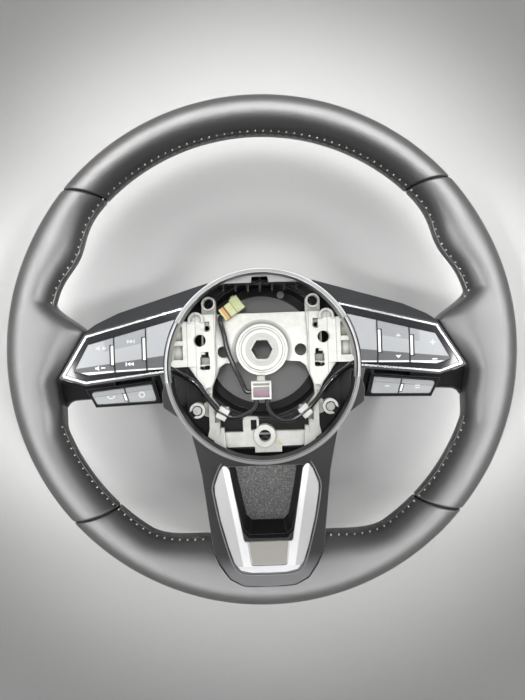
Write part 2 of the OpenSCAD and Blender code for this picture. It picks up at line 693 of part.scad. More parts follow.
// Switch panel: housing, circuit board with domes, carriers and keys
module key_zone_2d() {
    polygon([[50, key_top[1] + crease_fall * (key_top[0] - 50)], key_top, key_out, key_low, key_mid,
        [50, -10.8]]);
}
module tongue_2d(x, c, e) {
    offset(r = e) rounded(1) translate([x - 3, c[0] - c[1]]) square([3 + tongue_w, 2 * c[1]]);
}
module zone_between(x0, x1) {
    intersection() {
        key_zone_2d();
        translate([x0, -40]) square([x1 - x0, 100]);
    }
}
module blank_2d() {
    rounded(0.3) difference() {
        union() {
            zone_between(40, split_blank);
            tongue_2d(split_blank, tongue_blank, 0);
        }
        well_cut(0.6);
    }
}
module inner_key_2d() {
    difference() {
        union() {
            zone_between(split_blank + key_gap, split_keys);
            tongue_2d(split_keys, tongue_keys, 0);
        }
        tongue_2d(split_blank, tongue_blank, key_gap);
    }
}
module outer_key_2d() {
    difference() {
        zone_between(split_keys + key_gap, 150);
        tongue_2d(split_keys, tongue_keys, key_gap);
    }
}
module housing_right() color([0.05, 0.05, 0.055]) difference() {
    slab(housing_z, face_z - 0.9) difference() {
        offset(delta = -trim_w - 0.1) panel_2d();
        well_cut(0.4);
    }
    // room for board, carriers and keys
    slab(board_z, face_z) offset(delta = key_gap) zone_between(split_blank, 150);
    slab(key_z - key_t - 0.02, face_z + 2) offset(delta = 0.2) blank_2d();
}
module board_right() color([0.1, 0.3, 0.16]) {
    slab(board_z, board_z + board_t) offset(delta = -0.2) zone_between(split_blank, 150);
    for (p = [[out(90), 2], [out(98), 2], [out(112), -1.5], [out(122), -1.5]])
        translate([p[0], p[1], board_z + board_t - eps]) cylinder(r = 2, h = dome_h);
}
module trim_right() color([0.86, 0.87, 0.88]) slab(face_z - 8, face_z + 0.5) difference() {
    rounded(1.2) panel_2d();
    offset(delta = -trim_w) panel_2d();
    well_cut(0.4);
}
// Facet of a key's face: it falls away from a slanting line through [0, y], to +y or -y
module facet(z, y, slope, fall) {
    translate([0, y, z]) rotate([0, 0, -atan(slope)]) rotate([-fall, 0, 0])
        translate([-20, fall > 0 ? 0 : -60, 0]) cube([200, 60, 8]);
}
module key_facets() {
    facet(key_z, 6.3, 0.117, -facet_low);
    facet(key_z, 24.1, 0.195, facet_up);
}
module blank_right() color([0.62, 0.63, 0.64]) difference() {
    slab(key_z - key_t, key_z) blank_2d();
    facet(key_z, 6.3, 0.117, -facet_low);
}

// Carrier slides in the housing; the key rocks on the carrier's ears
module carrier(x0, x1, y0) color([0.85, 0.85, 0.82]) {
    difference() {
        union() {
            translate([x0, y0 - 7, carrier_z]) cube([x1 - x0, 14, carrier_t]);
            for (x = [x0, x1 - 1.6]) translate([x, y0 - 2, carrier_z + eps])
                cube([1.6, 4, pin_z - carrier_z + pin_d / 2 + 0.5]);
        }
        translate([x0 - 1, y0, pin_z]) rotate([0, 90, 0])
            cylinder(d = pin_d + 2 * pin_run, h = x1 - x0 + 2);
    }
}
module key_pins(x0, x1, y0) {
    // lugs inside the ears, with a pin into each
    for (x = [x0 + 2, x1 - 3.6]) translate([x, y0 - 1.5, pin_z - pin_d / 2])
        cube([1.6, 3, key_z - key_t - pin_z + pin_d / 2 + eps]);
    translate([x0 + 0.2, y0, pin_z]) rotate([0, 90, 0]) cylinder(d = pin_d, h = 3);
    translate([x1 - 3.2, y0, pin_z]) rotate([0, 90, 0]) cylinder(d = pin_d, h = 3);
}
module carrier_inner_right() carrier(inner_span[0], inner_span[1], rock_y_inner);
module carrier_outer_right() carrier(outer_span[0], outer_span[1], rock_y_outer);
module key_inner_right() color([0.62, 0.63, 0.64]) {
    difference() {
        slab(key_z - key_t, key_z) inner_key_2d();
        key_facets();
    }
    key_pins(inner_span[0], inner_span[1], rock_y_inner);
}
module key_outer_right() color([0.62, 0.63, 0.64]) {
    difference() {
        slab(key_z - key_t, key_z) outer_key_2d();
        key_facets();
    }
    key_pins(outer_span[0], outer_span[1], rock_y_outer);
}

// Lower switch pods under the panels
module pod_keys_2d() {
    rounded(1.5) polygon(concat(pod_top, pod_low));
}
module pod_2d() {
    offset(delta = 2.4) polygon(concat(pod_top, pod_low));
}
module pod_side(outer, e) {
    // half plane on one side of the slanted split
    s = outer ? 1 : -1;
    offset(delta = -e) polygon([pod_split[1], pod_split[0], pod_split[0] + s * [60, 0],
        pod_split[1] + s * [60, 0]]);
}
module pod_right() color([0.06, 0.06, 0.065]) difference() {
    slab(pod_back, pod_face - 1.2) difference() {
        pod_2d();
        offset(delta = 0.3) wing_2d();
    }
    slab(pod_back + 2, pod_face + 1) offset(delta = key_gap) pod_keys_2d();
}
module pod_key_inner_right() color([0.62, 0.63, 0.64]) pod_key(false);
module pod_key_outer_right() color([0.62, 0.63, 0.64]) pod_key(true);
module pod_key(outer) {
    difference() {
        slab(pod_face - 6, pod_face) intersection() {
            pod_keys_2d();
            pod_side(outer, key_gap / 2);
        }
        facet(pod_face, pod_top[0][1] + pod_slope * pod_top[0][0] - pod_bevel, pod_slope, facet_pod);
    }
    c = outer ? [out(110.5), -31] : [out(89), -29];
    translate([c[0], c[1], pod_back + 2.2 + pod_travel])
        cylinder(r = 2.4, h = pod_face - pod_back - 7 - pod_travel);
}

// Spring wires, connectors, clips, leads
function unit(v) = v / norm(v);
function curve(q, u) = let (n = len(q) - 1, i = min(floor(u), n - 1), t = u - i,
    a = q[max(i - 1, 0)], b = q[i], c = q[i + 1], d = q[min(i + 2, n)])
    0.5 * (2 * b + (c - a) * t + (2 * a - 5 * b + 4 * c - d) * t * t + (3 * b - a - 3 * c + d) * t * t * t);
module sweep(route, d, sides, per) {
    rings = (len(route) - 1) * per;
    path = [for (i = [0 : rings]) curve(route, i / per)];
    points = [for (i = [0 : rings])
        let (t = unit(path[min(i + 1, rings)] - path[max(i - 1, 0)]),
             s = unit(cross(t, [0, 0, 1])), n = cross(s, t))
        each [for (j = [0 : sides - 1], a = j * 360 / sides) path[i] + d / 2 * (cos(a) * s + sin(a) * n)]];
    polyhedron(points = points, faces = concat(strip(rings + 1, sides, 0, true, false),
        [[for (j = [sides - 1 : -1 : 0]) j]],
        [[for (j = [0 : sides - 1]) rings * sides + j]]));
}
module spring_right() color([0.75, 0.75, 0.76])
    sweep([[54.5, 25.5, plate_z - wire_d / 2 - 0.2], [51, 26.2, plate_z - wire_d / 2 - 0.2],
        [47.6, 23, plate_z - wire_d / 2 - 0.2], [46.8, 16, plate_z - wire_d / 2 - 0.2],
        [46.6, 0, plate_z - wire_d / 2 - 0.2], [46.6, -14, plate_z - wire_d / 2 - 0.2],
        [44, -18, plate_z - wire_d / 2 - 0.2], [40.5, -19, plate_z - wire_d / 2 - 0.2]], wire_d, 8, 2);
module spring_lower() color([0.75, 0.75, 0.76])
    sweep([[-22, -74, plate_z - wire_d / 2 - 0.2], [-23.5, -70, plate_z - wire_d / 2 - 0.2],
        [-20, -hook_down + 0.6, plate_z - wire_d / 2 - 0.2], [0, -hook_down + 0.6, plate_z - wire_d / 2 - 0.2],
        [20, -hook_down + 0.6, plate_z - wire_d / 2 - 0.2], [23.5, -70, plate_z - wire_d / 2 - 0.2],
        [22, -74, plate_z - wire_d / 2 - 0.2]], wire_d, 8, 2);

module connector_main() color([0.93, 0.93, 0.9]) {
    translate([-1.5, 0, 0]) difference() {
        translate([-7.5, -37.6, 22]) cube([15, 13.4, 14]);
        translate([-6.2, -36.2, 26]) cube([12.4, 8, 12]);
        translate([-6.2, -27.2, 31]) cube([12.4, 1.8, 12]);
    }
    // latch against the boss
    translate([-4.5, -24.5, 22]) cube([6, 24.5 - boss_d / 2 - 0.4, 4]);
}
module connector_airbag() color([0.86, 0.87, 0.55])
    translate([-22.5, 32.6, plate_top + 0.3]) rotate([0, 0, 35]) difference() {
        union() {
            translate([-9, -5.5, 0]) cube([11, 10, 8]);
            translate([1.9, -5.5, 0]) cube([7, 11.5, 6.6]);
            translate([4, 5.8, 0]) cube([3, 1.6, 5]);
        }
        translate([-10, -4, 2]) cube([4, 7, 4.4]);
    }
module clip_at(x, y, turn) {
    translate([x, y, 0]) rotate([0, 0, turn]) difference() {
        translate([-4, -4.6, plate_top + 0.3]) cube([8, 9.2, 7.4]);
        translate([-6, 0, 25]) rotate([0, 90, 0]) cylinder(d = lead_d + 1, h = 12);
        translate([-6, -0.9, 25]) cube([12, 1.8, 6]);
    }
}
module harness_clips() color([0.93, 0.93, 0.9]) {
    clip_at(-31.8, -48.3, -30);
    clip_at(31.8, -48.3, 38);
}
module plug_right() color([0.09, 0.09, 0.09]) translate([75.2, -13.4, part_z + 0.3])
    cube([8, 6, housing_z - part_z - 0.4]);
module lead_left() color([0.05, 0.05, 0.05]) sweep(left_route, lead_d, 8, 3);
module lead_right() color([0.05, 0.05, 0.05]) sweep(right_route, lead_d, 8, 3);
module lead_airbag() color([0.05, 0.05, 0.05]) sweep(airbag_route, lead_d, 8, 3);

module front_screws() color([0.7, 0.7, 0.7]) both() translate([screw_post[0], screw_post[1], plate_top + 3]) {
    difference() {
        cylinder(r = 3.2, h = 2.2);
        translate([0, 0, 1]) cylinder(r = 1.5, h = 2, $fn = 6);
    }
    translate([0, 0, -9]) cylinder(r = 1.5, h = 9.01);
}
module rear_screws() color([0.25, 0.25, 0.26]) for (q = rear_post) translate(q) {
    difference() {
        translate([0, 0, -2.4]) cylinder(r = 2.9, h = 2.4);
        translate([0, 0, -3]) cylinder(r = 1.3, h = 2, $fn = 6);
    }
    translate([0, 0, -eps]) cylinder(r = 1.5, h = q[1] == 0 ? 10.5 : 8);
}
module cover_plug() color([0.5, 0.5, 0.5]) translate([17, 45.4, -cover_back + wall]) cylinder(r = 3, h = 2.4);

// Left-hand pieces mirror the right-hand ones
module housing_left() mirror([1, 0, 0]) housing_right();
module board_left() mirror([1, 0, 0]) board_right();
module trim_left() mirror([1, 0, 0]) trim_right();
module blank_left() mirror([1, 0, 0]) blank_right();
module carrier_inner_left() mirror([1, 0, 0]) carrier_inner_right();
module carrier_outer_left() mirror([1, 0, 0]) carrier_outer_right();
module key_inner_left() mirror([1, 0, 0]) key_inner_right();
module key_outer_left() mirror([1, 0, 0]) key_outer_right();
module pod_left() mirror([1, 0, 0]) pod_right();
module pod_key_inner_left() mirror([1, 0, 0]) pod_key_inner_right();
module pod_key_outer_left() mirror([1, 0, 0]) pod_key_outer_right();
module spring_left() mirror([1, 0, 0]) spring_right();
module plug_left() mirror([1, 0, 0]) plug_right();

armature();
hub_insert();
rim_foam();
leather_top();
leather_bottom();
leather_left();
leather_right();
upper_bezel();
lower_cover();
spoke_insert();
rear_cover();
rear_wing_left();
rear_wing_right();
rear_leg();
housing_left();
housing_right();
board_left();
board_right();
trim_left();
trim_right();
blank_left();
blank_right();
carrier_inner_left();
carrier_outer_left();
carrier_inner_right();
carrier_outer_right();
key_inner_left();
key_outer_left();
key_inner_right();
key_outer_right();
pod_left();
pod_right();
pod_key_inner_left();
pod_key_outer_left();
pod_key_inner_right();
pod_key_outer_right();
spring_left();
spring_right();
spring_lower();
connector_main();
connector_airbag();
harness_clips();
plug_left();
plug_right();
lead_left();
lead_right();
lead_airbag();
front_screws();
rear_screws();
cover_plug();
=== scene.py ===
import math

import bmesh
import bpy
import numpy as np
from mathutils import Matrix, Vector


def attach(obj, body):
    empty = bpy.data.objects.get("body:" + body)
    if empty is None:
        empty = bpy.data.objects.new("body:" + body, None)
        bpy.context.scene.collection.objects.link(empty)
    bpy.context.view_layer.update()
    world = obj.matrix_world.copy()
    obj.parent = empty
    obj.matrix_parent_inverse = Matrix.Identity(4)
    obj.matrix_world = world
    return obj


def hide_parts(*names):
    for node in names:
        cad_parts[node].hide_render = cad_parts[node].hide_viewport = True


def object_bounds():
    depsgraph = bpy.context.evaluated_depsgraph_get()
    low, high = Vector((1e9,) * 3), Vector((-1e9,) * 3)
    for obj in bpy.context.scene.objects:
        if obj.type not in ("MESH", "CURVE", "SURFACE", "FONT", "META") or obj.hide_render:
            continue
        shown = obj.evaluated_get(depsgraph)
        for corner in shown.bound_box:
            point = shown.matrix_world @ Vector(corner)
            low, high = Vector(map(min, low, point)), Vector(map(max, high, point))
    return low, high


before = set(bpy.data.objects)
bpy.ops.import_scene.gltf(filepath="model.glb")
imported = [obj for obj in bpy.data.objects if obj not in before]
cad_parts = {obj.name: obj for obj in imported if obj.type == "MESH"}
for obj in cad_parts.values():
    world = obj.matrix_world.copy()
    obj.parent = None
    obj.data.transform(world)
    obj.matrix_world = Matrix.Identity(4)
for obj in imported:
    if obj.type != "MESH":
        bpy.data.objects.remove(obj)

cad_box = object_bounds()


# Camera: straight down the column from half a metre above the hub, turned two degrees. The picture's
# 525 by 700 pixels show 511 mm of height at the rim's middle, 450 mm below the eye.
half_view, rim_distance = 0.2555, 0.450
eye = bpy.data.cameras.new("eye")
eye.sensor_fit = "VERTICAL"
eye.angle = 2 * math.atan(half_view / rim_distance)
eye.clip_start = 0.01
camera = bpy.data.objects.new("eye", eye)
camera.location = (0.0004, -0.0004, 0.500)
camera.rotation_euler = (0, 0, math.radians(-2.0))
bpy.context.scene.collection.objects.link(camera)
bpy.context.scene.camera = camera


# Floor and light: a pale table top under the wheel's back, which fades into an even pale room where it is
# seen from far off. Two rings of soft lamps stand round the wheel, so that the grip is bright outside and
# dark inside, two more reach the spokes' roots, one the hub, and a large one above lights the whole.
def noise(tree, place, size, detail, rough=0.5):
    """A cloudy pattern of a size in metres; gives its value."""
    cloud = tree.nodes.new("ShaderNodeTexNoise")
    cloud.inputs["Scale"].default_value = 1 / size
    cloud.inputs["Detail"].default_value = detail
    cloud.inputs["Roughness"].default_value = rough
    tree.links.new(place, cloud.inputs["Vector"])
    return cloud.outputs["Fac"]


def ranged(tree, value, low, high, to_low=0.0, to_high=1.0, smooth=False):
    """A value between low and high as one between to_low and to_high, and no further."""
    scale = tree.nodes.new("ShaderNodeMapRange")
    if smooth:
        scale.interpolation_type = "SMOOTHSTEP"
    for label, number in (("From Min", low), ("From Max", high), ("To Min", to_low), ("To Max", to_high)):
        scale.inputs[label].default_value = number
    tree.links.new(value, scale.inputs["Value"])
    return scale.outputs["Result"]


def laid_over(tree, under, share, colour):
    """A colour over another colour, or over a socket that gives one, by a share; gives the result."""
    mix = tree.nodes.new("ShaderNodeMix")
    mix.data_type = "RGBA"
    mix.inputs["B"].default_value = (*colour, 1)
    tree.links.new(share, mix.inputs["Factor"])
    if isinstance(under, bpy.types.NodeSocket):
        tree.links.new(under, mix.inputs["A"])
    else:
        mix.inputs["A"].default_value = (*under, 1)
    return mix.outputs["Result"]


def surface(name, colour, rough=0.5, metal=0.0, level=0.5, coat=0.0, coat_rough=0.1, edge=0.0,
            tint=0.05, tint_size=0.02, grain=0.0, grain_size=0.0004, grain_kind="noise", rough_spread=0.06,
            second=None, second_share=0.5, second_size=0.02, painted_edge_highlight=None):
    """A material with mottled colour, uneven roughness, fine relief and softened edges, lightened there by a
    painted highlight.
    """
    finish = bpy.data.materials.new(name)
    finish.use_nodes = True
    tree = finish.node_tree
    shader = tree.nodes["Principled BSDF"]
    for label, number in (("Metallic", metal), ("Specular IOR Level", level), ("Coat Weight", coat),
                          ("Coat Roughness", coat_rough)):
        shader.inputs[label].default_value = number
    place = tree.nodes.new("ShaderNodeTexCoord").outputs["Object"]
    cloud = noise(tree, place, tint_size, 4)
    tone = laid_over(tree, [c * (1 - tint) for c in colour], cloud, [min(c * (1 + tint), 1) for c in colour])
    if second:
        start = 0.72 - 0.3 * second_share
        patch = noise(tree, place, second_size, 3, 0.6)
        tone = laid_over(tree, tone, ranged(tree, patch, start, start + 0.1), second)
    normal = None
    if edge:
        soft = tree.nodes.new("ShaderNodeBevel")
        soft.samples = 4
        soft.inputs["Radius"].default_value = edge
        normal = soft.outputs["Normal"]
    # Painted highlight: edges are lightened towards the given edge colour where the softened normal turns
    # from the true one.
    if painted_edge_highlight:
        flat = tree.nodes.new("ShaderNodeNewGeometry")
        turned = tree.nodes.new("ShaderNodeVectorMath")
        turned.operation = "DOT_PRODUCT"
        tree.links.new(normal, turned.inputs[0])
        tree.links.new(flat.outputs["True Normal"], turned.inputs[1])
        tone = laid_over(tree, tone, ranged(tree, turned.outputs["Value"], 0.985, 0.9), painted_edge_highlight)
    tree.links.new(tone, shader.inputs["Base Color"])
    polish = ranged(tree, cloud, 0, 1, max(rough - rough_spread, 0.02), min(rough + rough_spread, 1))
    tree.links.new(polish, shader.inputs["Roughness"])
    if grain:
        if grain_kind == "cells":
            cells = tree.nodes.new("ShaderNodeTexVoronoi")
            cells.feature = "DISTANCE_TO_EDGE"
            cells.inputs["Scale"].default_value = 1 / grain_size
            tree.links.new(place, cells.inputs["Vector"])
            height = cells.outputs["Distance"]
        else:
            height = noise(tree, place, grain_size, 3)
        bump = tree.nodes.new("ShaderNodeBump")
        bump.inputs["Strength"].default_value = grain
        bump.inputs["Distance"].default_value = grain_size
        tree.links.new(height, bump.inputs["Height"])
        if normal:
            tree.links.new(normal, bump.inputs["Normal"])
        normal = bump.outputs["Normal"]
    if normal:
        tree.links.new(normal, shader.inputs["Normal"])
    return finish


def mesh_piece(name, points, faces, material, smooth=True):
    """A mesh object at the origin from points in metres."""
    mesh = bpy.data.meshes.new(name)
    mesh.from_pydata([tuple(map(float, p)) for p in points], [], [tuple(map(int, f)) for f in faces])
    mesh.validate()
    mesh.materials.append(material)
    mesh.polygons.foreach_set("use_smooth", [smooth] * len(mesh.polygons))
    piece = bpy.data.objects.new(name, mesh)
    bpy.context.scene.collection.objects.link(piece)
    return piece


def seen_straight(tree):
    """1 for a ray that shows the surroundings, straight or in a gloss, 0 for one that only carries light."""
    rays = tree.nodes.new("ShaderNodeLightPath")
    seen = rays.outputs["Is Camera Ray"]
    for kind in ("Is Glossy Ray", "Is Transmission Ray"):
        either = tree.nodes.new("ShaderNodeMath")
        either.operation = "MAXIMUM"
        tree.links.new(seen, either.inputs[0])
        tree.links.new(rays.outputs[kind], either.inputs[1])
        seen = either.outputs["Value"]
    return seen


pale = (0.42, 0.42, 0.415)
floor_z = float(cad_box[0][2]) - 0.0004
floor_half = 4
fade_start, fade_end = 0.22, 0.52
wall_low, wall_high = 0.1, 0.6
table_finish = surface("table_top", (0.36, 0.36, 0.355), rough=0.7, tint=0.03, tint_size=0.3, grain=0.05,
                       grain_size=0.002)
table_tree = table_finish.node_tree
spot = table_tree.nodes.new("ShaderNodeTexCoord")
away = table_tree.nodes.new("ShaderNodeVectorMath")
away.operation = "LENGTH"
table_tree.links.new(spot.outputs["Object"], away.inputs[0])
haze = table_tree.nodes.new("ShaderNodeMath")
haze.operation = "MULTIPLY"
far_off = ranged(table_tree, away.outputs["Value"], fade_start, fade_end, smooth=True)
table_tree.links.new(far_off, haze.inputs[0])
table_tree.links.new(seen_straight(table_tree), haze.inputs[1])
even = table_tree.nodes.new("ShaderNodeEmission")
even.inputs["Color"].default_value = (*pale, 1)
fade = table_tree.nodes.new("ShaderNodeMixShader")
for out, into in ((haze.outputs["Value"], fade.inputs["Fac"]),
                  (table_tree.nodes["Principled BSDF"].outputs["BSDF"], fade.inputs[1]),
                  (even.outputs["Emission"], fade.inputs[2]),
                  (fade.outputs["Shader"], table_tree.nodes["Material Output"].inputs["Surface"])):
    table_tree.links.new(out, into)
corners = [(x * floor_half, y * floor_half, floor_z) for x, y in ((-1, -1), (1, -1), (1, 1), (-1, 1))]
table = mesh_piece("table_top", corners, [(0, 1, 2, 3)], table_finish)

world = bpy.data.worlds.new("pale_room")
bpy.context.scene.world = world
world.use_nodes = True
room = world.node_tree
sky = room.nodes["Background"]
sky.inputs["Color"].default_value = (0.86, 0.88, 0.9, 1)
sky.inputs["Strength"].default_value = 0.08
toward = room.nodes.new("ShaderNodeTexCoord")
split = room.nodes.new("ShaderNodeSeparateXYZ")
room.links.new(toward.outputs["Generated"], split.inputs["Vector"])
wall = laid_over(room, pale, ranged(room, split.outputs["Z"], wall_low, wall_high), (0.07, 0.07, 0.072))
backdrop = room.nodes.new("ShaderNodeBackground")
choose = room.nodes.new("ShaderNodeMixShader")
for out, into in ((wall, backdrop.inputs["Color"]), (seen_straight(room), choose.inputs["Fac"]),
                  (sky.outputs["Background"], choose.inputs[1]),
                  (backdrop.outputs["Background"], choose.inputs[2]),
                  (choose.outputs["Shader"], room.nodes["World Output"].inputs["Surface"])):
    room.links.new(out, into)


def area_lamp(name, place, aim, width, height, power, spread=180):
    """A soft lamp that looks at a point and isn't seen itself."""
    lamp = bpy.data.lights.new(name, "AREA")
    lamp.shape = "RECTANGLE"
    lamp.size = width
    lamp.size_y = height
    lamp.energy = power
    lamp.spread = math.radians(spread)
    stand = bpy.data.objects.new(name, lamp)
    stand.location = place
    stand.rotation_euler = (Vector(aim) - stand.location).to_track_quat("-Z", "Y").to_euler()
    stand.visible_camera = False
    bpy.context.scene.collection.objects.link(stand)


for ring, count, radius, height, reach, power in (("low", 16, 0.49, 0.37, 0.20, 0.050),
                                                  ("high", 12, 0.35, 0.53, 0.25, 0.078)):
    for i in range(count):
        turn = 2 * math.pi * (i + 0.5) / count
        area_lamp(f"{ring}_lamp_{i}", (radius * math.cos(turn), radius * math.sin(turn), height),
                  (reach * math.cos(turn), reach * math.sin(turn), 0.05), 0.2, 0.14,
                  power * (1 + 0.3 * math.sin(turn)), 40)
for i, side in enumerate((-1, 1)):
    area_lamp(f"root_lamp_{i}", (-0.12 * side, -0.11, 0.56), (0.165 * side, -0.012, 0.06),
              0.22, 0.22, 0.10, 11)
area_lamp("hub_lamp", (-0.02, 0.06, 0.72), (0, -0.012, 0.02), 0.22, 0.22, 0.05, 20)
area_lamp("top_lamp", (0, 0, 2.2), (0, 0, 0), 2.0, 2.0, 4.0)

bpy.context.scene.view_settings.view_transform = "Standard"


# Leads: three sleeved leads in the hub. Two run from the switch plugs through the clips to the main
# connector, one from the airbag's connector; each is clipped or plugged at both ends.
def smooth_route(points, steps):
    """A smooth path in metres through points in mm, with a number of steps from each to the next."""
    route = np.array(points, float) / 1000
    last = len(route) - 1
    path = []
    for k in range(last * steps + 1):
        i = min(k // steps, last - 1)
        t = k / steps - i
        a, b, c, d = route[max(i - 1, 0)], route[i], route[i + 1], route[min(i + 2, last)]
        path.append(0.5 * (2 * b + (c - a) * t + (2 * a - 5 * b + 4 * c - d) * t ** 2
                           + (3 * b - a - 3 * c + d) * t ** 3))
    return np.array(path)


def tube(name, path, diameter, sides, material):
    """A round tube along a path, closed at both ends."""
    n = len(path)
    points, faces = [], []
    for i in range(n):
        ahead = path[min(i + 1, n - 1)] - path[max(i - 1, 0)]
        ahead = ahead / np.linalg.norm(ahead)
        level = np.cross(ahead, [0, 0, 1])
        level = level / np.linalg.norm(level)
        upright = np.cross(level, ahead)
        for j in range(sides):
            a = 2 * math.pi * j / sides
            points.append(path[i] + diameter / 2 * (math.cos(a) * level + math.sin(a) * upright))
    for i in range(n - 1):
        for j in range(sides):
            a, b = i * sides + j, i * sides + (j + 1) % sides
            faces.append((a, b, b + sides, a + sides))
    faces.append(tuple(range(sides - 1, -1, -1)))
    faces.append(tuple((n - 1) * sides + j for j in range(sides)))
    piece = mesh_piece(name, points, faces, material)
    solid = bmesh.new()
    solid.from_mesh(piece.data)
    bmesh.ops.recalc_face_normals(solid, faces=solid.faces)
    solid.to_mesh(piece.data)
    solid.free()
    return piece


lead_d, lead_sides, lead_steps = 3.8, 16, 8
lead_routes = {
    "lead_left": [(-75, -10.5, 43.7), (-71.5, -10.8, 43.4), (-67, -12.6, 41.6), (-62.5, -16.2, 36.6),
                  (-57, -20, 30), (-51, -25, 27.4), (-45, -33, 25.8), (-39.5, -40.6, 25.2),
                  (-35.4, -45.6, 25), (-31.8, -48.3, 25), (-28, -50, 25), (-22, -51.5, 25.4),
                  (-15, -49.5, 26.4), (-9, -46, 27.4), (-6, -42, 28), (-5.8, -37.9, 28)],
    "lead_right": [(75, -10.5, 43.7), (71.5, -10.8, 43.4), (67, -12.6, 41.6), (62.5, -16.2, 36.6),
                   (56, -21.5, 30), (49, -29, 27.2), (43.4, -36.4, 25.6), (37.5, -43.4, 25),
                   (31.8, -48.3, 25), (26, -52.5, 25), (20, -55, 25.4), (13, -54.5, 26.4),
                   (7, -50.5, 27.4), (3.2, -44.5, 28), (2.8, -37.9, 28)],
    "lead_airbag": [(-29.9, 26.8, 24.4), (-31.4, 24.8, 24), (-31.2, 21.5, 23.2), (-29.8, 16, 22.6),
                    (-28.5, 10, 22.4), (-27.6, 4, 22.4), (-25.4, -3.5, 22.8), (-22, -12.5, 23.6),
                    (-17.8, -21.5, 25), (-15, -28, 26.4), (-13, -31.6, 27), (-9.3, -32.4, 27)],
}
sleeve_finish = surface("lead_sleeve", (0.006, 0.006, 0.007), rough=0.2, level=0.3, coat=1.0, coat_rough=0.06,
                        tint=0.2, tint_size=0.004, grain=0.06, grain_size=0.0020)
for name, route in lead_routes.items():
    path = smooth_route(route, lead_steps)
    lead = tube(name.replace("lead", "sleeved_lead"), path, lead_d / 1000, lead_sides, sleeve_finish)
    length = float(np.linalg.norm(np.diff(path, axis=0), axis=1).sum())
    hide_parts(name)
    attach(lead, "wheel")


# Rim leather: four panels of smooth dark leather, stretched over the foam, sewn on the inner side and
# tucked into a groove at each end. The thumb rests and the spokes' roots are part of the form.
# Sizes are in mm and angles in degrees. The roots' and the thumb rest's angles count up from the side spoke.
rim_r, rim_h = 185.0, 50.0
grip_low, grip_top, grip_depth, grip_thins = 32.0, 29.0, 32.0, (-5, 50)
thumb_swell, thumb_angle, thumb_spread = 6.5, 28.5, 7.5
leather_t, groove_w, groove_angle, groove_skew = 1.2, 1.6, 43.1, 2.7
core_r = rim_r - grip_top / 2
half_groove = groove_w / core_r * 90 / math.pi
side_root_top, side_root_low, lower_root = (14.5, 6.8), (-21, -12.5), (-56, -76)
root_t, root_low_r, rim_lip, lip_clear = 22.0, 139.0, 1.6, 0.4
panel_top, panel_out = np.array([126, 13.9]), np.array([143.9, -14.8])
panel_dir = (panel_out - panel_top) / np.linalg.norm(panel_out - panel_top)
panel_normal = np.array([-panel_dir[1], panel_dir[0]])
root_line = panel_normal @ panel_top + rim_lip + lip_clear
corner_reach = np.linalg.norm(panel_out) + 2 * rim_lip + 1.2


def ramp(x, a, b):
    """A smooth rise from 0 at a to 1 at b."""
    t = np.clip((x - a) / (b - a), 0, 1)
    return t * t * (3 - 2 * t)


def folded(t):
    """Ring angle as degrees above the side spoke, the same on both sides."""
    u = (t + 450) % 360
    return np.where(u <= 180, u - 90, 270 - u)


def rim_surface(t, p, e):
    """Point of the rim at ring angle t and section angle p in degrees, moved in by e, in metres."""
    f = folded(t)
    half_w = ((grip_low + (grip_top - grip_low) * ramp(f, *grip_thins)) / 2
              + thumb_swell / 2 * np.exp(-((f - thumb_angle) / thumb_spread) ** 2))
    at_side = ramp(f, *side_root_top) * ramp(f, *side_root_low)
    at_foot = ramp(f, *lower_root)
    at_root = np.maximum(at_side, at_foot)
    c, s = np.cos(np.radians(p)), np.sin(np.radians(p))
    ahead = panel_normal[0] * np.cos(np.radians(f)) + panel_normal[1] * np.sin(np.radians(f))
    panel_edge = np.minimum(corner_reach, root_line / np.maximum(ahead, 1e-3))
    inner = rim_r - 2 * half_w
    reach = inner + at_side * (panel_edge - inner) + at_foot * (root_low_r - inner)
    mid = rim_r - half_w
    fullness = 2 / (2 + 3 * at_root)
    hubward = c < 0
    r = np.where(hubward, mid - (mid - reach - e) * np.abs(c) ** fullness, mid + (half_w - e) * c)
    half_d = grip_depth / 2 + (root_t / 2 - grip_depth / 2) * at_root * ramp(-c, 0, 0.9) - e
    z = half_d * np.sign(s) * np.where(hubward, np.abs(s) ** fullness, np.abs(s))
    return np.stack([r * np.cos(np.radians(t)), r * np.sin(np.radians(t)), rim_h + z], -1) / 1000


seam_p = 163.0
crease_depth, crease_spread = 0.75, 1.5
pad_rise, pad_offset, pad_spread = 0.12, 4.5, 2.5
seam_steps = np.array([-4, -2.6, -1.5, -0.7, 0, 0.7, 1.5, 2.6, 4])
section = np.unique(np.concatenate([np.arange(0, 360, 6.0), seam_p + seam_steps]))
sewn = [(12.5, 167.5), (-74, -19), (199, 254)]


def sewn_share(t):
    """1 where the panel is sewn at this ring angle, 0 where it isn't."""
    f = folded(t)
    return np.maximum(ramp(f, 11, 14), ramp(f, -18, -21) * ramp(f, -77, -73))


leather_finish = surface("rim_leather", (0.024, 0.0225, 0.022), rough=0.45, level=1.0, coat=0.7,
                         coat_rough=0.5, tint=0.06, tint_size=0.03, rough_spread=0.04, grain=0.16,
                         grain_size=0.0009, grain_kind="cells")
leather_finish.node_tree.nodes["Principled BSDF"].inputs["IOR"].default_value = 1.6


def prism(outline, low, high):
    """Points in metres and faces of an upright block on an outline in mm."""
    n = len(outline)
    points = [(x / 1000, y / 1000, z / 1000) for z in (low, high) for x, y in outline]
    faces = [tuple(range(n))[::-1], tuple(range(n, 2 * n))]
    faces += [(k, (k + 1) % n, n + (k + 1) % n, n + k) for k in range(n)]
    return points, faces


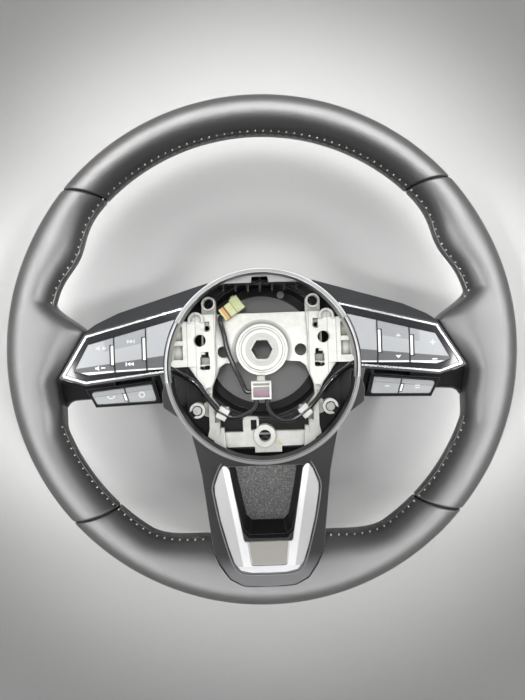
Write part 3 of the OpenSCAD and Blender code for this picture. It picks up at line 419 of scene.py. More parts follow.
def cut_out(piece, half, low, high):
    """Cuts a seat out of a piece: a block on a mirrored outline, given by its right half in mm."""
    outline = half + [(-x, y) for x, y in half[::-1]]
    points, faces = prism(outline[::-1], low, high)
    tool = mesh_piece("seat_tool", points, faces, piece.data.materials[0], smooth=False)
    modifier = piece.modifiers.new("seat", "BOOLEAN")
    modifier.operation = "DIFFERENCE"
    modifier.solver = "EXACT"
    modifier.object = tool
    seen = piece.evaluated_get(bpy.context.evaluated_depsgraph_get())
    mesh = bpy.data.meshes.new_from_object(seen)
    mesh.set_sharp_from_angle(angle=math.radians(38))
    piece.modifiers.remove(modifier)
    old = piece.data
    piece.data = mesh
    bpy.data.meshes.remove(old)
    bpy.data.objects.remove(tool)


cover_seat = [(41.4, -128), (41.0, -131.5), (40.0, -141.2), (34.5, -152.3), (27.9, -161.5), (18.2, -166.5),
              (9, -167.1)]
seat_low, seat_high = 54.6, 90
end_steps = np.array([0, 0.06, 0.2, 0.45, 0.8, leather_t])
end_round = 1.05


def leather_panel(name, node, place, count):
    """One panel between two grooves, at its place on the ring, with rounded ends."""
    ends = end_steps / core_r * 180 / math.pi
    p = section
    g = groove_angle - groove_skew * np.cos(np.radians(p))
    start = {"top": g, "bottom": 180 + g, "left": 180 - g, "right": -g}[place] + half_groove
    stop = {"top": 180 - g, "bottom": 360 - g, "left": 180 + g, "right": g}[place] - half_groove
    span = (stop - start).mean()
    middle = np.linspace(ends[-1] / span, 1 - ends[-1] / span, count)
    shares = np.unique(np.concatenate([ends / span, middle, 1 - ends / span]))
    skin, lining = [], []
    for share in shares:
        t = start + (stop - start) * share
        from_end = min(share, 1 - share) * span * math.pi / 180 * core_r
        rounded = end_round * (1 - math.sqrt(max(0, 1 - (1 - min(from_end / leather_t, 1)) ** 2)))
        crease = crease_depth * np.exp(-((p - seam_p) / crease_spread) ** 2) * sewn_share(t)
        pad = pad_rise * np.exp(-((np.abs(p - seam_p) - pad_offset) / pad_spread) ** 2) * sewn_share(t)
        skin.append(rim_surface(t, p, rounded + crease - pad))
        lining.append(rim_surface(t, p, np.full(len(p), leather_t)))
    points = np.concatenate(skin + lining)
    rings, around = len(shares), len(p)
    faces = []
    for i in range(rings - 1):
        for j in range(around):
            a, b = i * around + j, i * around + (j + 1) % around
            faces.append((a, a + around, b + around, b))
            a, b = a + rings * around, b + rings * around
            faces.append((a, b, b + around, a + around))
    for i, flip in ((0, False), (rings - 1, True)):
        for j in range(around):
            a, b = i * around + j, i * around + (j + 1) % around
            end = (a, b, b + rings * around, a + rings * around)
            faces.append(end[::-1] if flip else end)
    piece = mesh_piece(name, points, faces, leather_finish)
    if place == "bottom":
        cut_out(piece, cover_seat, seat_low, seat_high)
    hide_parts(node)
    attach(piece, "wheel")


for place, count in (("top", 110), ("bottom", 130), ("left", 170), ("right", 170)):
    leather_panel(f"leather_skin_{place}", f"leather_{place}", place, count)


# Stitches: a row of thread on each side of the seam, pulled tight through the folded leather edges
# on the grip's inner side, one stitch every 5.6 mm. The lower row is the same thread, darkened as painted
# shade.
stitch_step, row_tilt, thread_lift = 5.6, 2.0, 0.05
thread_finish = surface("stitch_thread", (0.62, 0.61, 0.59), rough=0.55, tint=0.15, tint_size=0.001,
                        grain=0.5, grain_size=0.0003)
# The same thread darkened, as painted shade for the lower row deeper on the grip's inner side.
painted_shade_thread = surface("stitch_thread_painted_shade", (0.11, 0.108, 0.104), rough=0.6, tint=0.3, tint_size=0.002,
                      grain=0.5, grain_size=0.0003)


def stitch_guide(name, p_row, phase, spans):
    """Points along a seam row, each with the direction along the seam and out of the leather."""
    at, along, out = [], [], []
    for first, last in spans:
        t = np.arange(first, last, 0.05)
        line = rim_surface(t, np.full(len(t), p_row), np.zeros(len(t)))
        run = np.concatenate([[0], np.cumsum(np.linalg.norm(np.diff(line, axis=0), axis=1))]) * 1000
        for k in range(int((run[-1] - phase) / stitch_step)):
            i = int(np.searchsorted(run, phase + k * stitch_step))
            i = min(max(i, 1), len(t) - 2)
            ahead = line[i + 1] - line[i - 1]
            ahead = ahead / np.linalg.norm(ahead)
            beside = rim_surface(t[i:i + 1], np.array([p_row + row_tilt]), np.zeros(1))[0]
            outward = np.cross(beside - line[i], ahead)
            outward = outward / np.linalg.norm(outward)
            a = math.radians(t[i])
            middle = np.array([core_r * math.cos(a), core_r * math.sin(a), rim_h]) / 1000
            if outward @ (line[i] - middle) < 0:
                outward = -outward
            at.append(line[i] + outward * thread_lift / 1000)
            along.append(ahead)
            out.append(outward)
    mesh = bpy.data.meshes.new(name)
    mesh.from_pydata([tuple(map(float, q)) for q in at], [], [])
    for key, rows in (("along", along), ("out", out)):
        field = mesh.attributes.new(key, "FLOAT_VECTOR", "POINT")
        field.data.foreach_set("vector", np.array(rows, float).ravel())
    guide = bpy.data.objects.new(name, mesh)
    bpy.context.scene.collection.objects.link(guide)
    return guide


def stitch_tree():
    """A tree that sets one flattened ball of thread on each point of a guide, turned by its attributes."""
    tree = bpy.data.node_groups.new("stitch_row", "GeometryNodeTree")
    face = tree.interface
    face.new_socket("Geometry", in_out="INPUT", socket_type="NodeSocketGeometry")
    for label, value in (("Stitch length", 0.003), ("Thread width", 0.001), ("Slant", 0.0)):
        socket = face.new_socket(label, in_out="INPUT", socket_type="NodeSocketFloat")
        socket.default_value = value
    face.new_socket("Thread", in_out="INPUT", socket_type="NodeSocketMaterial")
    face.new_socket("Geometry", in_out="OUTPUT", socket_type="NodeSocketGeometry")
    node, link = tree.nodes.new, tree.links.new
    source, sink = node("NodeGroupInput"), node("NodeGroupOutput")
    ball = node("GeometryNodeMeshUVSphere")
    ball.inputs["Segments"].default_value = 10
    ball.inputs["Rings"].default_value = 6
    ball.inputs["Radius"].default_value = 0.5
    size = node("ShaderNodeCombineXYZ")
    link(source.outputs["Stitch length"], size.inputs["X"])
    link(source.outputs["Thread width"], size.inputs["Y"])
    link(source.outputs["Thread width"], size.inputs["Z"])
    turn = node("ShaderNodeCombineXYZ")
    link(source.outputs["Slant"], turn.inputs["Z"])
    shape = node("GeometryNodeTransform")
    link(ball.outputs["Mesh"], shape.inputs["Geometry"])
    link(size.outputs["Vector"], shape.inputs["Scale"])
    tilt = node("GeometryNodeTransform")
    link(shape.outputs["Geometry"], tilt.inputs["Geometry"])
    link(turn.outputs["Vector"], tilt.inputs["Rotation"])
    smooth = node("GeometryNodeSetShadeSmooth")
    link(tilt.outputs["Geometry"], smooth.inputs["Geometry"])
    rotation = None
    for key, axis in (("along", "X"), ("out", "Z")):
        field = node("GeometryNodeInputNamedAttribute")
        field.data_type = "FLOAT_VECTOR"
        field.inputs["Name"].default_value = key
        align = node("FunctionNodeAlignRotationToVector")
        align.axis = axis
        if key == "out":
            align.pivot_axis = "X"
            link(rotation, align.inputs["Rotation"])
        link(field.outputs["Attribute"], align.inputs["Vector"])
        rotation = align.outputs["Rotation"]
    place = node("GeometryNodeInstanceOnPoints")
    dots = node("GeometryNodeMeshToPoints")
    link(source.outputs["Geometry"], dots.inputs["Mesh"])
    link(dots.outputs["Points"], place.inputs["Points"])
    link(smooth.outputs["Geometry"], place.inputs["Instance"])
    link(rotation, place.inputs["Rotation"])
    real = node("GeometryNodeRealizeInstances")
    link(place.outputs["Instances"], real.inputs["Geometry"])
    paint = node("GeometryNodeSetMaterial")
    link(real.outputs["Geometry"], paint.inputs["Geometry"])
    link(source.outputs["Thread"], paint.inputs["Material"])
    link(paint.outputs["Geometry"], sink.inputs["Geometry"])
    return tree


def grown(guide, tree, name, **values):
    """Runs a tree on a guide with its inputs by name, and keeps the result as a plain mesh."""
    modifier = guide.modifiers.new("grow", "NODES")
    modifier.node_group = tree
    for item in tree.interface.items_tree:
        if item.item_type == "SOCKET" and item.in_out == "INPUT" and item.name in values:
            modifier[item.identifier] = values[item.name]
    seen = guide.evaluated_get(bpy.context.evaluated_depsgraph_get())
    mesh = bpy.data.meshes.new_from_object(seen)
    guide.modifiers.remove(modifier)
    mesh.name = name
    piece = bpy.data.objects.new(name, mesh)
    bpy.context.scene.collection.objects.link(piece)
    bpy.data.objects.remove(guide)
    return piece


stitches = stitch_tree()
for label, p_row, phase, length, width, slant, finish in (
        ("upper", 155.5, 0.6, 0.0019, 0.0012, 1.2, thread_finish),
        ("lower", 171.0, 1.4, 0.0028, 0.0009, 0.25, painted_shade_thread)):
    guide = stitch_guide(f"seam_{label}", p_row, phase, sewn)
    row = grown(guide, stitches, f"stitches_{label}", **{
        "Stitch length": length, "Thread width": width, "Slant": slant, "Thread": finish})
    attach(row, "wheel")


# Foam: a ring of polyurethane foam, moulded round the cast ring before the leather goes on. It is seen
# only at the bottom of the four grooves.
def dress(names, finish):
    """Gives CAD nodes their material."""
    for name in names:
        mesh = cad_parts[name].data
        mesh.materials.clear()
        mesh.materials.append(finish)


dress(["rim_foam"], surface("foam", (0.02, 0.02, 0.02), rough=0.9, tint=0.2, tint_size=0.003, grain=0.4,
                            grain_size=0.001, grain_kind="cells"))


# Casting: hub plate, arms, legs and ring, die cast in one piece and left unpainted, with faint stains and a
# fine blasted skin, a painted highlight on its edges and painted shade in its corners, in the slots of its
# arms and at the steps of the hub face. A steel seat with the hexagonal hole is cast into the hub plate.
class Paint:
    """A finish and what is laid over it by masks, which are 1 where it shows. They read the piece's own
    coordinates in mm: across counts from the middle plane, up runs up the face and depth to the driver."""

    def __init__(self, finish):
        self.finish = finish
        self.tree = finish.node_tree
        self.shader = self.tree.nodes["Principled BSDF"]
        self.place = self.tree.nodes.new("ShaderNodeTexCoord").outputs["Object"]
        split = self.tree.nodes.new("ShaderNodeSeparateXYZ")
        self.tree.links.new(self.place, split.inputs["Vector"])
        x, self.up, self.depth = (self.calc("MULTIPLY", split.outputs[axis], 1000) for axis in "XYZ")
        self.across = self.calc("ABSOLUTE", x)

    def calc(self, operation, *values):
        """A sum on sockets and numbers; gives its result."""
        node = self.tree.nodes.new("ShaderNodeMath")
        node.operation = operation
        for i, value in enumerate(values):
            if isinstance(value, (int, float)):
                node.inputs[i].default_value = value
            else:
                self.tree.links.new(value, node.inputs[i])
        return node.outputs[0]

    def above(self, value, edge, soft=0.15):
        """1 where a value lies above an edge, with a soft step."""
        return ranged(self.tree, value, edge - soft, edge + soft, smooth=True)

    def below(self, value, edge, soft=0.15):
        return self.calc("SUBTRACT", 1, self.above(value, edge, soft))

    def between(self, value, low, high, soft=0.15):
        return self.calc("SUBTRACT", self.above(value, low, soft), self.above(value, high, soft))

    def where(self, *masks):
        """1 where every mask is 1."""
        whole = masks[0]
        for mask in masks[1:]:
            whole = self.calc("MULTIPLY", whole, mask)
        return whole

    def facing_up(self):
        """1 where the surface faces the driver, 0 on side walls."""
        shape = self.tree.nodes.new("ShaderNodeNewGeometry")
        split = self.tree.nodes.new("ShaderNodeSeparateXYZ")
        self.tree.links.new(shape.outputs["True Normal"], split.inputs["Vector"])
        return self.above(split.outputs["Z"], 0.5, 0.2)

    def walls(self):
        return self.calc("SUBTRACT", 1, self.facing_up())

    def leaning(self, slope):
        """Height on the face over a line through the origin that falls by slope to both sides."""
        return self.calc("ADD", self.up, self.calc("MULTIPLY", self.across, slope))

    def from_middle(self, drop=0):
        """Distance from the point that lies on the middle line, drop below the origin."""
        height = self.calc("ADD", self.up, drop)
        return self.calc("SQRT", self.calc("ADD", self.calc("POWER", self.across, 2),
                                           self.calc("POWER", height, 2)))

    def lay(self, mask, colour=None, rough=None, metal=None):
        """Lays a colour, a roughness or a share of metal over the finish where the mask is 1."""
        if colour:
            target = self.shader.inputs["Base Color"]
            tone = laid_over(self.tree, target.links[0].from_socket, mask, colour)
            self.tree.links.new(tone, target)
        for label, number in (("Roughness", rough), ("Metallic", metal)):
            if number is None:
                continue
            target = self.shader.inputs[label]
            mix = self.tree.nodes.new("ShaderNodeMix")
            mix.inputs["B"].default_value = number
            if target.is_linked:
                self.tree.links.new(target.links[0].from_socket, mix.inputs["A"])
            else:
                mix.inputs["A"].default_value = target.default_value
            self.tree.links.new(mask, mix.inputs["Factor"])
            self.tree.links.new(mix.outputs["Result"], target)

    def paint_crevice_shade(self, reach, colour, share):
        """Paints shade into the narrow corners, which ambient occlusion finds."""
        near = self.tree.nodes.new("ShaderNodeAmbientOcclusion")
        near.samples = 6
        near.inputs["Distance"].default_value = reach
        self.lay(ranged(self.tree, near.outputs["AO"], 0.8, 0.3, 0, share), colour)


# Black painted shade for slots and for gaps between parts.
painted_gap_shade = (0.006, 0.006, 0.006)
hub_face_z, arm_face, shade_line_up = 19, (41.3, 47.1), (-20, 30)
# Painted highlight: the casting's edges are lightened to a pale colour.
casting = Paint(surface("raw_casting", (0.76, 0.765, 0.72), rough=0.5, metal=0.1, edge=0.0009, tint=0.16,
                        tint_size=0.005, grain=0.3, grain_size=0.0008, second=(0.66, 0.58, 0.38),
                        second_share=0.28, second_size=0.02, painted_edge_highlight=(0.86, 0.86, 0.83)))
face = casting.where(casting.above(casting.depth, hub_face_z), casting.facing_up())
boss = casting.from_middle()
# Painted shade: darker rings on the hub face stand in for the shade at the boss's steps and round its fillet.
for low, high, tone in ((15.6, 16.2, 0.42), (17.7, 18.2, 0.34), (20.2, 22.2, 0.4), (22.2, 23.4, 0.52)):
    casting.lay(casting.where(face, casting.between(boss, low, high, 0.3)), (tone, tone, tone * 0.95))
# Painted shade: two black windows on each arm's face stand in for the dark inside its slots.
for low, high in ((-4.9, -2.4), (-14.4, -11.9)):
    window = casting.where(casting.between(casting.across, *arm_face),
                           casting.between(casting.up, low, high))
    casting.lay(window, painted_gap_shade, 0.8, 0.0)
# Painted shade: dark lines down the hub face stand in for the shade of its steps.
for x, tone in ((36.3, 0.38), (50.8, 0.45), (57.4, 0.4)):
    line = casting.where(casting.between(casting.across, x, x + 0.5, 0.2),
                         casting.between(casting.up, *shade_line_up, 1.0))
    casting.lay(casting.where(line, face), (tone, tone, tone * 0.95))
# Painted shade in the casting's corners and crevices, found by ambient occlusion.
casting.paint_crevice_shade(0.005, (0.10, 0.095, 0.08), 0.85)
dress(["armature"], casting.finish)
dress(["hub_insert"], surface("insert_steel", (0.46, 0.46, 0.44), rough=0.45, metal=0.15, edge=0.0005,
                              grain=0.15, grain_size=0.0004))


# Upper bezel: one plastic moulding over both side spokes, in graphite satin lacquer, with a lighter arc
# along the well's upper edge, a painted highlight along both edges of the arc and a pale ledge inside it.
# It goes on the casting from the driver's side.
well_drop, arc_in, arc_out, arc_z = 12, 67.2, 70.7, 57.5
ledge_low, ledge_high, ledge_up = 42.5, 45.3, 49
bezel = Paint(surface("graphite_lacquer", (0.012, 0.013, 0.0155), rough=0.34, level=0.6, edge=0.0011,
                      tint=0.05, grain=0.05, grain_size=0.0005))
well = bezel.from_middle(well_drop)
arc = bezel.where(bezel.between(well, arc_in, arc_out, 0.05), bezel.above(bezel.depth, arc_z))
bezel.lay(arc, (0.26, 0.265, 0.27), 0.42, 0.0)
# Painted highlight: bright lines along both edges of the arc.
for low, high in ((arc_in + 0.1, arc_in + 0.7), (arc_out - 0.8, arc_out - 0.2)):
    bezel.lay(bezel.where(arc, bezel.between(well, low, high, 0.1)), (0.6, 0.6, 0.6), 0.35)
ledge = bezel.where(bezel.between(bezel.depth, ledge_low, ledge_high, 0.05), bezel.above(bezel.up, ledge_up))
bezel.lay(ledge, (0.55, 0.55, 0.55), 0.45)
dress(["upper_bezel"], bezel.finish)


# Lower cover: a moulding in black plastic with a fine grain, round the lower half of the well and down the
# lower spoke, held to the casting by two screws. Pale bands and lines on its ring's top beside and under the
# panels are painted highlight, as is the lightening of its edges, and the floor of its recess is speckled.
def grained_plastic(name):
    """Black plastic with a fine moulded grain, and a painted highlight that lightens its edges."""
    return surface(name, (0.011, 0.011, 0.0115), rough=0.5, level=0.35, edge=0.0007, tint=0.1, grain=0.3,
                   grain_size=0.0006, grain_kind="cells", painted_edge_highlight=(0.22, 0.22, 0.225))


panel_low, panel_high, well_edge_z = -22, 23, 55
recess_low, recess_high, recess_z, foot_up = -135, -84, 46, -152
speckle_size = 1 / 1100
cover = Paint(grained_plastic("grained_ring"))
well = cover.from_middle(well_drop)
top_face = cover.where(cover.above(cover.depth, well_edge_z), cover.facing_up())
beside_panels = cover.between(cover.up, panel_low, panel_high, 0.3)
under_panels = cover.below(cover.up, panel_low, 0.3)
# Painted highlight: a pale band and a bright line on the ring's top beside the panels.
for low, high, soft, colour in ((68.8, 71, 0.15, (0.34, 0.35, 0.36)), (68.8, 69.6, 0.1, (0.6, 0.6, 0.6))):
    cover.lay(cover.where(top_face, beside_panels, cover.between(well, low, high, soft)), colour, 0.4)
wall = cover.where(beside_panels, cover.between(well, 66, 68, 0.1),
                   cover.below(cover.depth, well_edge_z + 1.6, 0.2))
cover.lay(wall, (0.42, 0.42, 0.39), 0.5)
# Painted highlight: a pale band and a bright inner line on the ring's top under the panels.
for low, high, soft, tone, rough in ((68.4, 70.9, 0.3, 0.24, 0.45), (67.4, 67.9, 0.1, 0.3, 0.4)):
    cover.lay(cover.where(top_face, under_panels, cover.between(well, low, high, soft)),
              (tone, tone, tone), rough)
recess = cover.where(cover.facing_up(), cover.below(cover.depth, recess_z),
                     cover.between(cover.up, recess_low, recess_high, 1.0))
cover.lay(recess, (0.115, 0.115, 0.113), 0.5)
speckle = cover.above(noise(cover.tree, cover.place, speckle_size, 1), 0.56, 0.08)
cover.lay(cover.where(recess, speckle), (0.26, 0.26, 0.25), 0.6)
cover.lay(cover.where(cover.facing_up(), cover.below(cover.up, foot_up, 8)), (0.15, 0.15, 0.157), 0.4)
dress(["lower_cover"], cover.finish)


# Rear cover: a bowl with ribs behind the well, two wings behind the side spokes and a leg behind the lower
# one, moulded in the same grained black plastic and screwed to the casting from behind. Its edges carry the
# same painted highlight.
dress(["rear_cover", "rear_wing_left", "rear_wing_right", "rear_leg"], grained_plastic("grained_black"))


# Pods: the small housings under the switch panels, moulded in dull black plastic, with two push keys in
# the face of each. A faint painted highlight lightens their edges.
pod_finish = surface("pod_black", (0.006, 0.006, 0.0065), rough=0.6, level=0.06, edge=0.0006, tint=0.1,
                     grain=0.25, grain_size=0.0006, grain_kind="cells", painted_edge_highlight=(0.12, 0.12, 0.125))
dress(["pod_left", "pod_right"], pod_finish)


# Webs: a dark fillet of the grip's padding under each panel's outer corner, which closes the gap
# between the grip and the pod.
web_half = [(128.6, -25.5), (108, -23.6), (108, -19.8), (143, -19.8), (150, -17), (157, -30), (153, -46),
            (147.6, -42.5), (146.0, -38.6), (143.6, -35.2), (139.6, -33.1), (131, -32.5), (124.7, -32.3)]
web_low, web_high, web_round = 40.5, 49.0, 1.4
for label, side in (("left", -1), ("right", 1)):
    points, faces = prism([(side * x, y) for x, y in web_half], web_low, web_high)
    # The webs take the pods' finish, with its faint painted highlight on the edges.
    web = mesh_piece(f"grip_web_{label}", points, faces, pod_finish, smooth=False)
    solid = bmesh.new()
    solid.from_mesh(web.data)
    bmesh.ops.recalc_face_normals(solid, faces=solid.faces)
    front = [edge for edge in solid.edges if all(end.co.z > (web_high - 1) / 1000 for end in edge.verts)]
    bmesh.ops.bevel(solid, geom=front, offset=web_round / 1000, segments=3, affect="EDGES", profile=0.6)
    solid.to_mesh(web.data)
    solid.free()
    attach(web, "wheel")


# Spoke insert: a plastic U in satin silver lacquer, set round the recess of the lower spoke. Its inner
# flanks and its lower edge are brighter, and a bare metallic plate fills its foot.
insert_top, insert_run, insert_fall = -82.6, 0.9937, 0.1118
flank_x, flank_slope, plate_x, plate_slope = 31.33, 0.184, 21.6, 0.137
plate_low, plate_high, foot_edge = -69.6, -53.4, -70.6
insert = Paint(surface("satin_silver", (0.39, 0.385, 0.385), rough=0.38, metal=0.3, edge=0.0006,
                       tint=0.06, tint_size=0.02, grain=0.06, grain_size=0.0004, second=(0.4, 0.36, 0.33),
                       second_share=0.5, second_size=0.03))
along = insert.calc("DIVIDE", insert.calc("SUBTRACT", insert.up, insert_top), insert_run)
flank_side = insert.calc("SUBTRACT", insert.across, insert.calc("MULTIPLY", along, flank_slope))
insert.lay(insert.below(flank_side, flank_x, 0.6), (0.66, 0.66, 0.67), 0.3)
plate_side = insert.calc("SUBTRACT", insert.across, insert.calc("MULTIPLY", along, plate_slope))
plate = insert.where(insert.between(along, plate_low, plate_high, 0.2),
                     insert.below(plate_side, plate_x, 0.2))
insert.lay(plate, (0.27, 0.26, 0.235), 0.45)
insert.lay(insert.below(along, foot_edge, 0.3), (0.56, 0.56, 0.57), 0.35)
dress(["spoke_insert"], insert.finish)


# Bead: a thin raised line that runs round the insert, moulded on the lower cover's face and a little
# lighter than the cover.
bead_d, bead_z, bead_sides, bead_steps = 0.9, 56.45, 8, 4
bead_half = [(32.0, 1.5), (35.0, -3.6), (38.7, -13.6), (38.5, -20.4), (35.0, -38.4), (30.0, -56.6),
             (25.7, -69.2), (21.0, -74.9), (12.4, -76.7), (0, -76.9)]
bead_line = bead_half + [(-x, y) for x, y in bead_half[-2::-1]]
bead_path = smooth_route([(x, insert_top + y * insert_run, bead_z - y * insert_fall)
                          for x, y in bead_line], bead_steps)
bead = tube("insert_bead", bead_path, bead_d / 1000, bead_sides,
            surface("bead_black", (0.2, 0.2, 0.205), rough=0.4, tint=0.08, grain=0.1, grain_size=0.0006))
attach(bead, "wheel")


# Switch panels: housings in gloss black plastic over green circuit boards, each in a frame plated in
# satin chrome. They sit on the casting's side arms.
dress(["housing_left", "housing_right"],
      surface("gloss_black", (0.01, 0.01, 0.012), rough=0.08, level=0.6, coat=0.6, coat_rough=0.03,
              edge=0.0004, rough_spread=0.02))
dress(["board_left", "board_right"],
      surface("solder_mask", (0.006, 0.03, 0.014), rough=0.35, tint=0.25, tint_size=0.004, grain=0.15,
              grain_size=0.0008, second=(0.012, 0.05, 0.024), second_share=0.6, second_size=0.003))
dress(["trim_left", "trim_right"],
      surface("satin_chrome", (0.56, 0.565, 0.57), rough=0.24, metal=1.0, edge=0.0003, tint=0.02,
              rough_spread=0.03))


# Rocker keys and the fixed plates beside them: plastic in grey satin lacquer, with painted shade on the strip
# along the top and past the fold, a painted highlight on the lip, and white tongues in the gaps between
# them, with painted shade in those gaps and on the side walls. The keys tip on dark nylon carriers, which
# press down into the housing.
def all_four(kind):
    """Names of the outer and inner pieces of a kind on both sides."""
    return [f"{kind}_{place}_{side}" for place in ("inner", "outer") for side in ("left", "right")]


top_slope, top_y = 0.195, 24.1
fold_slope, fold_y = 0.117, 6.3
lip_slope, lip_y = 0.034, -8.0
front_z = 56.2
keys = Paint(surface("key_lacquer", (0.285, 0.293, 0.301), rough=0.36, metal=0.1, edge=0.0004, tint=0.03,
                     grain=0.03, grain_size=0.0004))
# Painted shade: the strip along the top is darker.
strip = keys.where(keys.above(keys.leaning(top_slope), top_y), keys.between(keys.across, 82, 113, 1.5))
keys.lay(strip, (0.21, 0.217, 0.227))
front = keys.above(keys.depth, front_z)
# Painted shade past the fold, and a painted highlight on the lip below it.
keys.lay(keys.where(keys.below(keys.leaning(fold_slope), fold_y), front), (0.085, 0.087, 0.09), 0.4)
keys.lay(keys.where(keys.below(keys.leaning(lip_slope), lip_y), front), (0.7, 0.71, 0.72), 0.25)
# Painted shade in the gaps between the pieces and beside the white tongues.
for x, middle, half in ((82.7, 3.3, 8), (105.7, -0.6, 7)):
    keys.lay(keys.between(keys.across, x - 0.35, x + 0.85, 0.12), painted_gap_shade, 0.5)
    for left, right, rise, colour, rough in ((0, 3.6, 0.7, painted_gap_shade, 0.5),
                                             (0.8, 2.6, 0, (0.75, 0.75, 0.75), 0.3)):
        tongue = keys.where(keys.between(keys.across, x + left, x + right, 0.12),
                            keys.between(keys.up, middle - half - rise, middle + half + rise, 0.2))
        keys.lay(tongue, colour, rough)
# Painted shade: the side walls near black.
keys.lay(keys.walls(), (0.008, 0.008, 0.009), 0.4, 0.0)
dress(all_four("key") + ["blank_left", "blank_right"], keys.finish)
dress(all_four("carrier"), surface("dark_nylon", (0.02, 0.02, 0.021), rough=0.45, edge=0.0003, tint=0.15,
                                   grain=0.15, grain_size=0.0004))


# Push keys in the pods: two to a pod, in the same satin lacquer, with painted shade along a fold line near
# the top, a slanted gap between them and a short white tongue in it, with painted shade in the gap, round
# the tongue and on the side walls.
pod_fold_slope, pod_fold_low, pod_fold_high = 0.104, -17.9, -17.5
pod_gap_slope, pod_gap_y, pod_gap_x, pod_gap_w = 0.318, -20, 102.0, 1.2
pod_keys = Paint(surface("pod_key_lacquer", (0.225, 0.232, 0.236), rough=0.36, metal=0.1, edge=0.0005,
                         tint=0.03, grain=0.03, grain_size=0.0004))
# Painted shade along the fold line.
fold = pod_keys.between(pod_keys.leaning(pod_fold_slope), pod_fold_low, pod_fold_high, 0.1)
pod_keys.lay(fold, (0.12, 0.12, 0.13))
slant = pod_keys.calc("MULTIPLY", pod_keys.calc("SUBTRACT", pod_keys.up, pod_gap_y), pod_gap_slope)
from_gap = pod_keys.calc("SUBTRACT", pod_keys.calc("SUBTRACT", pod_keys.across, slant), pod_gap_x)
# Painted shade in the slanted gap and round the tongue.
pod_keys.lay(pod_keys.between(from_gap, 0, pod_gap_w, 0.1), painted_gap_shade, 0.5)
for left, right, low, high, colour, rough in ((0.4, 3.4, -34.2, -28.2, painted_gap_shade, 0.5),
                                              (1.1, 2.7, -33.6, -28.8, (0.7, 0.7, 0.7), 0.3)):
    tongue = pod_keys.where(pod_keys.between(from_gap, left, right, 0.1),
                            pod_keys.between(pod_keys.up, low, high, 0.2))
    pod_keys.lay(tongue, colour, rough)
# Painted shade: the side walls near black.
pod_keys.lay(pod_keys.walls(), (0.02, 0.02, 0.022), 0.4, 0.0)
dress(all_four("pod_key"), pod_keys.finish)


# Marks on the keys: bare triangles, bars, a plus and a ring in pale print, raised by 0.05 mm. Each follows
# the fold of its key's face and moves with the key.
key_z, pod_key_z = 58.4, 52
top_tilt, fold_tilt = 4, 9
print_t, print_sink = 0.05, 0.04


def face_height(x, y):
    """Height in mm of the rocker keys' faces, which fall away past the fold and past the strip."""
    past_fold = max(0, (fold_y - fold_slope * abs(x) - y) / math.hypot(1, fold_slope))
    past_strip = max(0, (y - top_y + top_slope * abs(x)) / math.hypot(1, top_slope))
    return (key_z - past_fold * math.tan(math.radians(fold_tilt))
            - past_strip * math.tan(math.radians(top_tilt)))


def bar(x, y, width, height):
    """A bar round a middle point."""
    return [(x - width / 2, y - height / 2), (x + width / 2, y - height / 2),
            (x + width / 2, y + height / 2), (x - width / 2, y + height / 2)]


def pointer(x, y, dx, dy, half):
    """A triangle with its tip at x + dx, y + dy."""
    length = math.hypot(dx, dy)
    u, v = -dy / length * half, dx / length * half
    return [(x + u, y + v), (x - u, y - v), (x + dx, y + dy)]


def bow(x, y, r, width, start, end, steps=8):
    """A curved bar from one angle to another."""
    turns = [math.radians(start + (end - start) * k / steps) for k in range(steps + 1)]
    outer = [(x + (r + width / 2) * math.cos(a), y + (r + width / 2) * math.sin(a)) for a in turns]
    inner = [(x + (r - width / 2) * math.cos(a), y + (r - width / 2) * math.sin(a)) for a in turns]
    return outer + inner[::-1]


marks_paint = Paint(surface("key_print", (0.43, 0.44, 0.445), rough=0.4, tint=0.05, grain=0.05,
                            grain_size=0.0003))
low_print = marks_paint.where(marks_paint.between(marks_paint.leaning(fold_slope), -5, fold_y),
                              marks_paint.above(marks_paint.depth, 53))
marks_paint.lay(low_print, (0.72, 0.73, 0.73))
key_marks = {
    "key_inner_left": [pointer(-96.6, 9.0, 2.4, 0, 1.4), pointer(-94.2, 9.0, 2.4, 0, 1.4),
                       bar(-91.3, 9.0, 0.7, 2.8), pointer(-92.2, -7.2, -2.4, 0, 1.4),
                       pointer(-94.6, -7.2, -2.4, 0, 1.4), bar(-97.6, -7.2, 0.7, 2.8)],
    "key_outer_left": [pointer(-116.2, 4.8, -2.6, 0, 1.7), bar(-118.4, 4.8, 1.0, 1.4),
                       bar(-113.2, 4.8, 3.0, 0.8), bar(-113.2, 5.75, 0.8, 1.1), bar(-113.2, 3.85, 0.8, 1.1),
                       pointer(-117.2, -9.5, -2.6, 0, 1.7), bar(-119.4, -9.5, 1.0, 1.4),
                       bar(-114.2, -9.3, 3.0, 0.8)],
    "key_inner_right": [pointer(98.0, 6.0, 0, 2.2, 2.0), pointer(97.7, -7.4, 0, -2.2, 2.0)],
    "key_outer_right": [bar(122.4, 1.1, 3.6, 0.9), bar(122.4, 2.25, 0.9, 1.4), bar(122.4, -0.05, 0.9, 1.4),
                        bar(123.7, -11.0, 3.6, 0.9)],
    "pod_key_outer_left": [bow(-110.8, -28.9, 3.0, 0.8, 215, 325), bar(-113.1, -30.4, 1.0, 1.0),
                           bar(-108.5, -30.4, 1.0, 1.0)],
    "pod_key_inner_left": [bow(-88.3, -29.8, 1.9, 0.9, 0, 180), bow(-88.3, -29.8, 1.9, 0.9, 180, 360)],
    "pod_key_outer_right": [bar(112, -29.9, 3.4, 0.8), bar(112, -31.6, 3.4, 0.8)],
    "pod_key_inner_right": [bar(90, -29.6, 3.4, 0.8)],
}
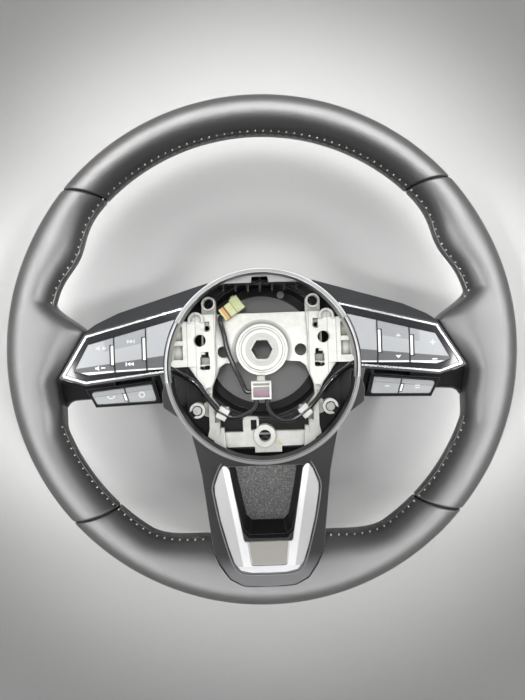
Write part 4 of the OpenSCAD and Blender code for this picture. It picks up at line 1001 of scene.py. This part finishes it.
for body, shapes in key_marks.items():
    points, faces = [], []
    for shape in shapes:
        area = sum(a[0] * b[1] - b[0] * a[1] for a, b in zip(shape, shape[1:] + shape[:1]))
        shape = shape if area > 0 else shape[::-1]
        first, n = len(points), len(shape)
        for lift in (-print_sink, print_t):
            for x, y in shape:
                z = pod_key_z if body.startswith("pod") else face_height(x, y)
                points.append((x / 1000, y / 1000, (z + lift) / 1000))
        faces.append(tuple(first + n + k for k in range(n)))
        faces.append(tuple(first + n - 1 - k for k in range(n)))
        for k in range(n):
            m = (k + 1) % n
            faces.append((first + k, first + m, first + n + m, first + n + k))
    marks = mesh_piece(f"marks_{body}", points, faces, marks_paint.finish, smooth=False)
    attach(marks, body)


# Spring wires: bright steel wires, bent to lie behind the casting's three pin holes, where they catch the
# pins that are pushed in.
dress(["spring_left", "spring_right", "spring_lower"],
      surface("spring_steel", (0.7, 0.7, 0.7), rough=0.25, metal=1.0, tint=0.12, tint_size=0.002, grain=0.1,
              grain_size=0.0002))


# Clips and switch plugs: white nylon clips that hold the leads on the casting's legs, and the panels' plugs
# in black nylon at the well's sides.
dress(["harness_clips"], surface("clip_nylon", (0.72, 0.72, 0.69), rough=0.4, edge=0.0005, tint=0.05,
                                 grain=0.05, grain_size=0.0004))
dress(["plug_left", "plug_right"], surface("black_nylon", (0.03, 0.03, 0.03), rough=0.4, edge=0.0004,
                                           tint=0.12, grain=0.15, grain_size=0.0004))


# Main connector: a white nylon shell open to the driver, with a reddish core and a row of contacts in its
# mouth. All three leads end in it.
mouth_z, core_low, core_high, contact_x, contact_step = 35.5, -35.8, -31.4, 20.5, 0.9
main = Paint(surface("connector_nylon", (0.74, 0.74, 0.72), rough=0.4, edge=0.0005, tint=0.05, grain=0.05,
                     grain_size=0.0004))
mouth = main.where(main.below(main.depth, mouth_z), main.facing_up())
main.lay(mouth, (0.55, 0.54, 0.48), 0.5)
core = main.where(mouth, main.between(main.up, core_low, core_high, 0.2))
main.lay(core, (0.7, 0.42, 0.4), 0.5)
contacts = main.calc("PINGPONG", main.calc("ADD", main.across, contact_x), contact_step)
main.lay(main.where(core, main.above(contacts, contact_step / 2)), (0.5, 0.4, 0.58), 0.5)
dress(["connector_main"], main.finish)


# Airbag connector: a yellow nylon plug that lies turned on the hub plate, with an orange lock across one
# end, painted shade in the gap in the lock and a moulded line.
yellow = Paint(surface("yellow_nylon", (0.56, 0.6, 0.3), rough=0.4, edge=0.0005, tint=0.12, tint_size=0.003,
                       grain=0.1, grain_size=0.0006))
plug_x, plug_y, plug_cos, plug_sin = 22.5, 32.6, 0.819, 0.574
across_part = yellow.calc("MULTIPLY", yellow.calc("SUBTRACT", plug_x, yellow.across), plug_cos)
up_part = yellow.calc("MULTIPLY", yellow.calc("SUBTRACT", plug_y, yellow.up), plug_sin)
turned = yellow.calc("SUBTRACT", across_part, up_part)
for low, high, soft, colour in ((-7.6, -3.6, 0.6, (0.62, 0.33, 0.08)),
                                (-5.0, -3.9, 0.3, (0.06, 0.035, 0.015)),
                                (1.5, 1.9, 0.1, (0.2, 0.22, 0.08))):
    yellow.lay(yellow.between(turned, low, high, soft), colour, 0.4)
dress(["connector_airbag"], yellow.finish)


# Screws and plug: two zinc-plated screws through the lower cover, black screws through the rear cover, and
# a grey nylon plug pressed into the rear cover's hole.
dress(["front_screws"], surface("zinc_steel", (0.5, 0.5, 0.49), rough=0.4, metal=0.4, edge=0.0004, tint=0.06,
                                grain=0.1, grain_size=0.0005))
dress(["rear_screws"], surface("black_steel", (0.08, 0.08, 0.085), rough=0.35, metal=0.6, edge=0.0003,
                               tint=0.15, tint_size=0.002, grain=0.1, grain_size=0.0003))
dress(["cover_plug"], surface("grey_nylon", (0.5, 0.5, 0.5), rough=0.5, edge=0.0004, tint=0.08, grain=0.15,
                              grain_size=0.0005))
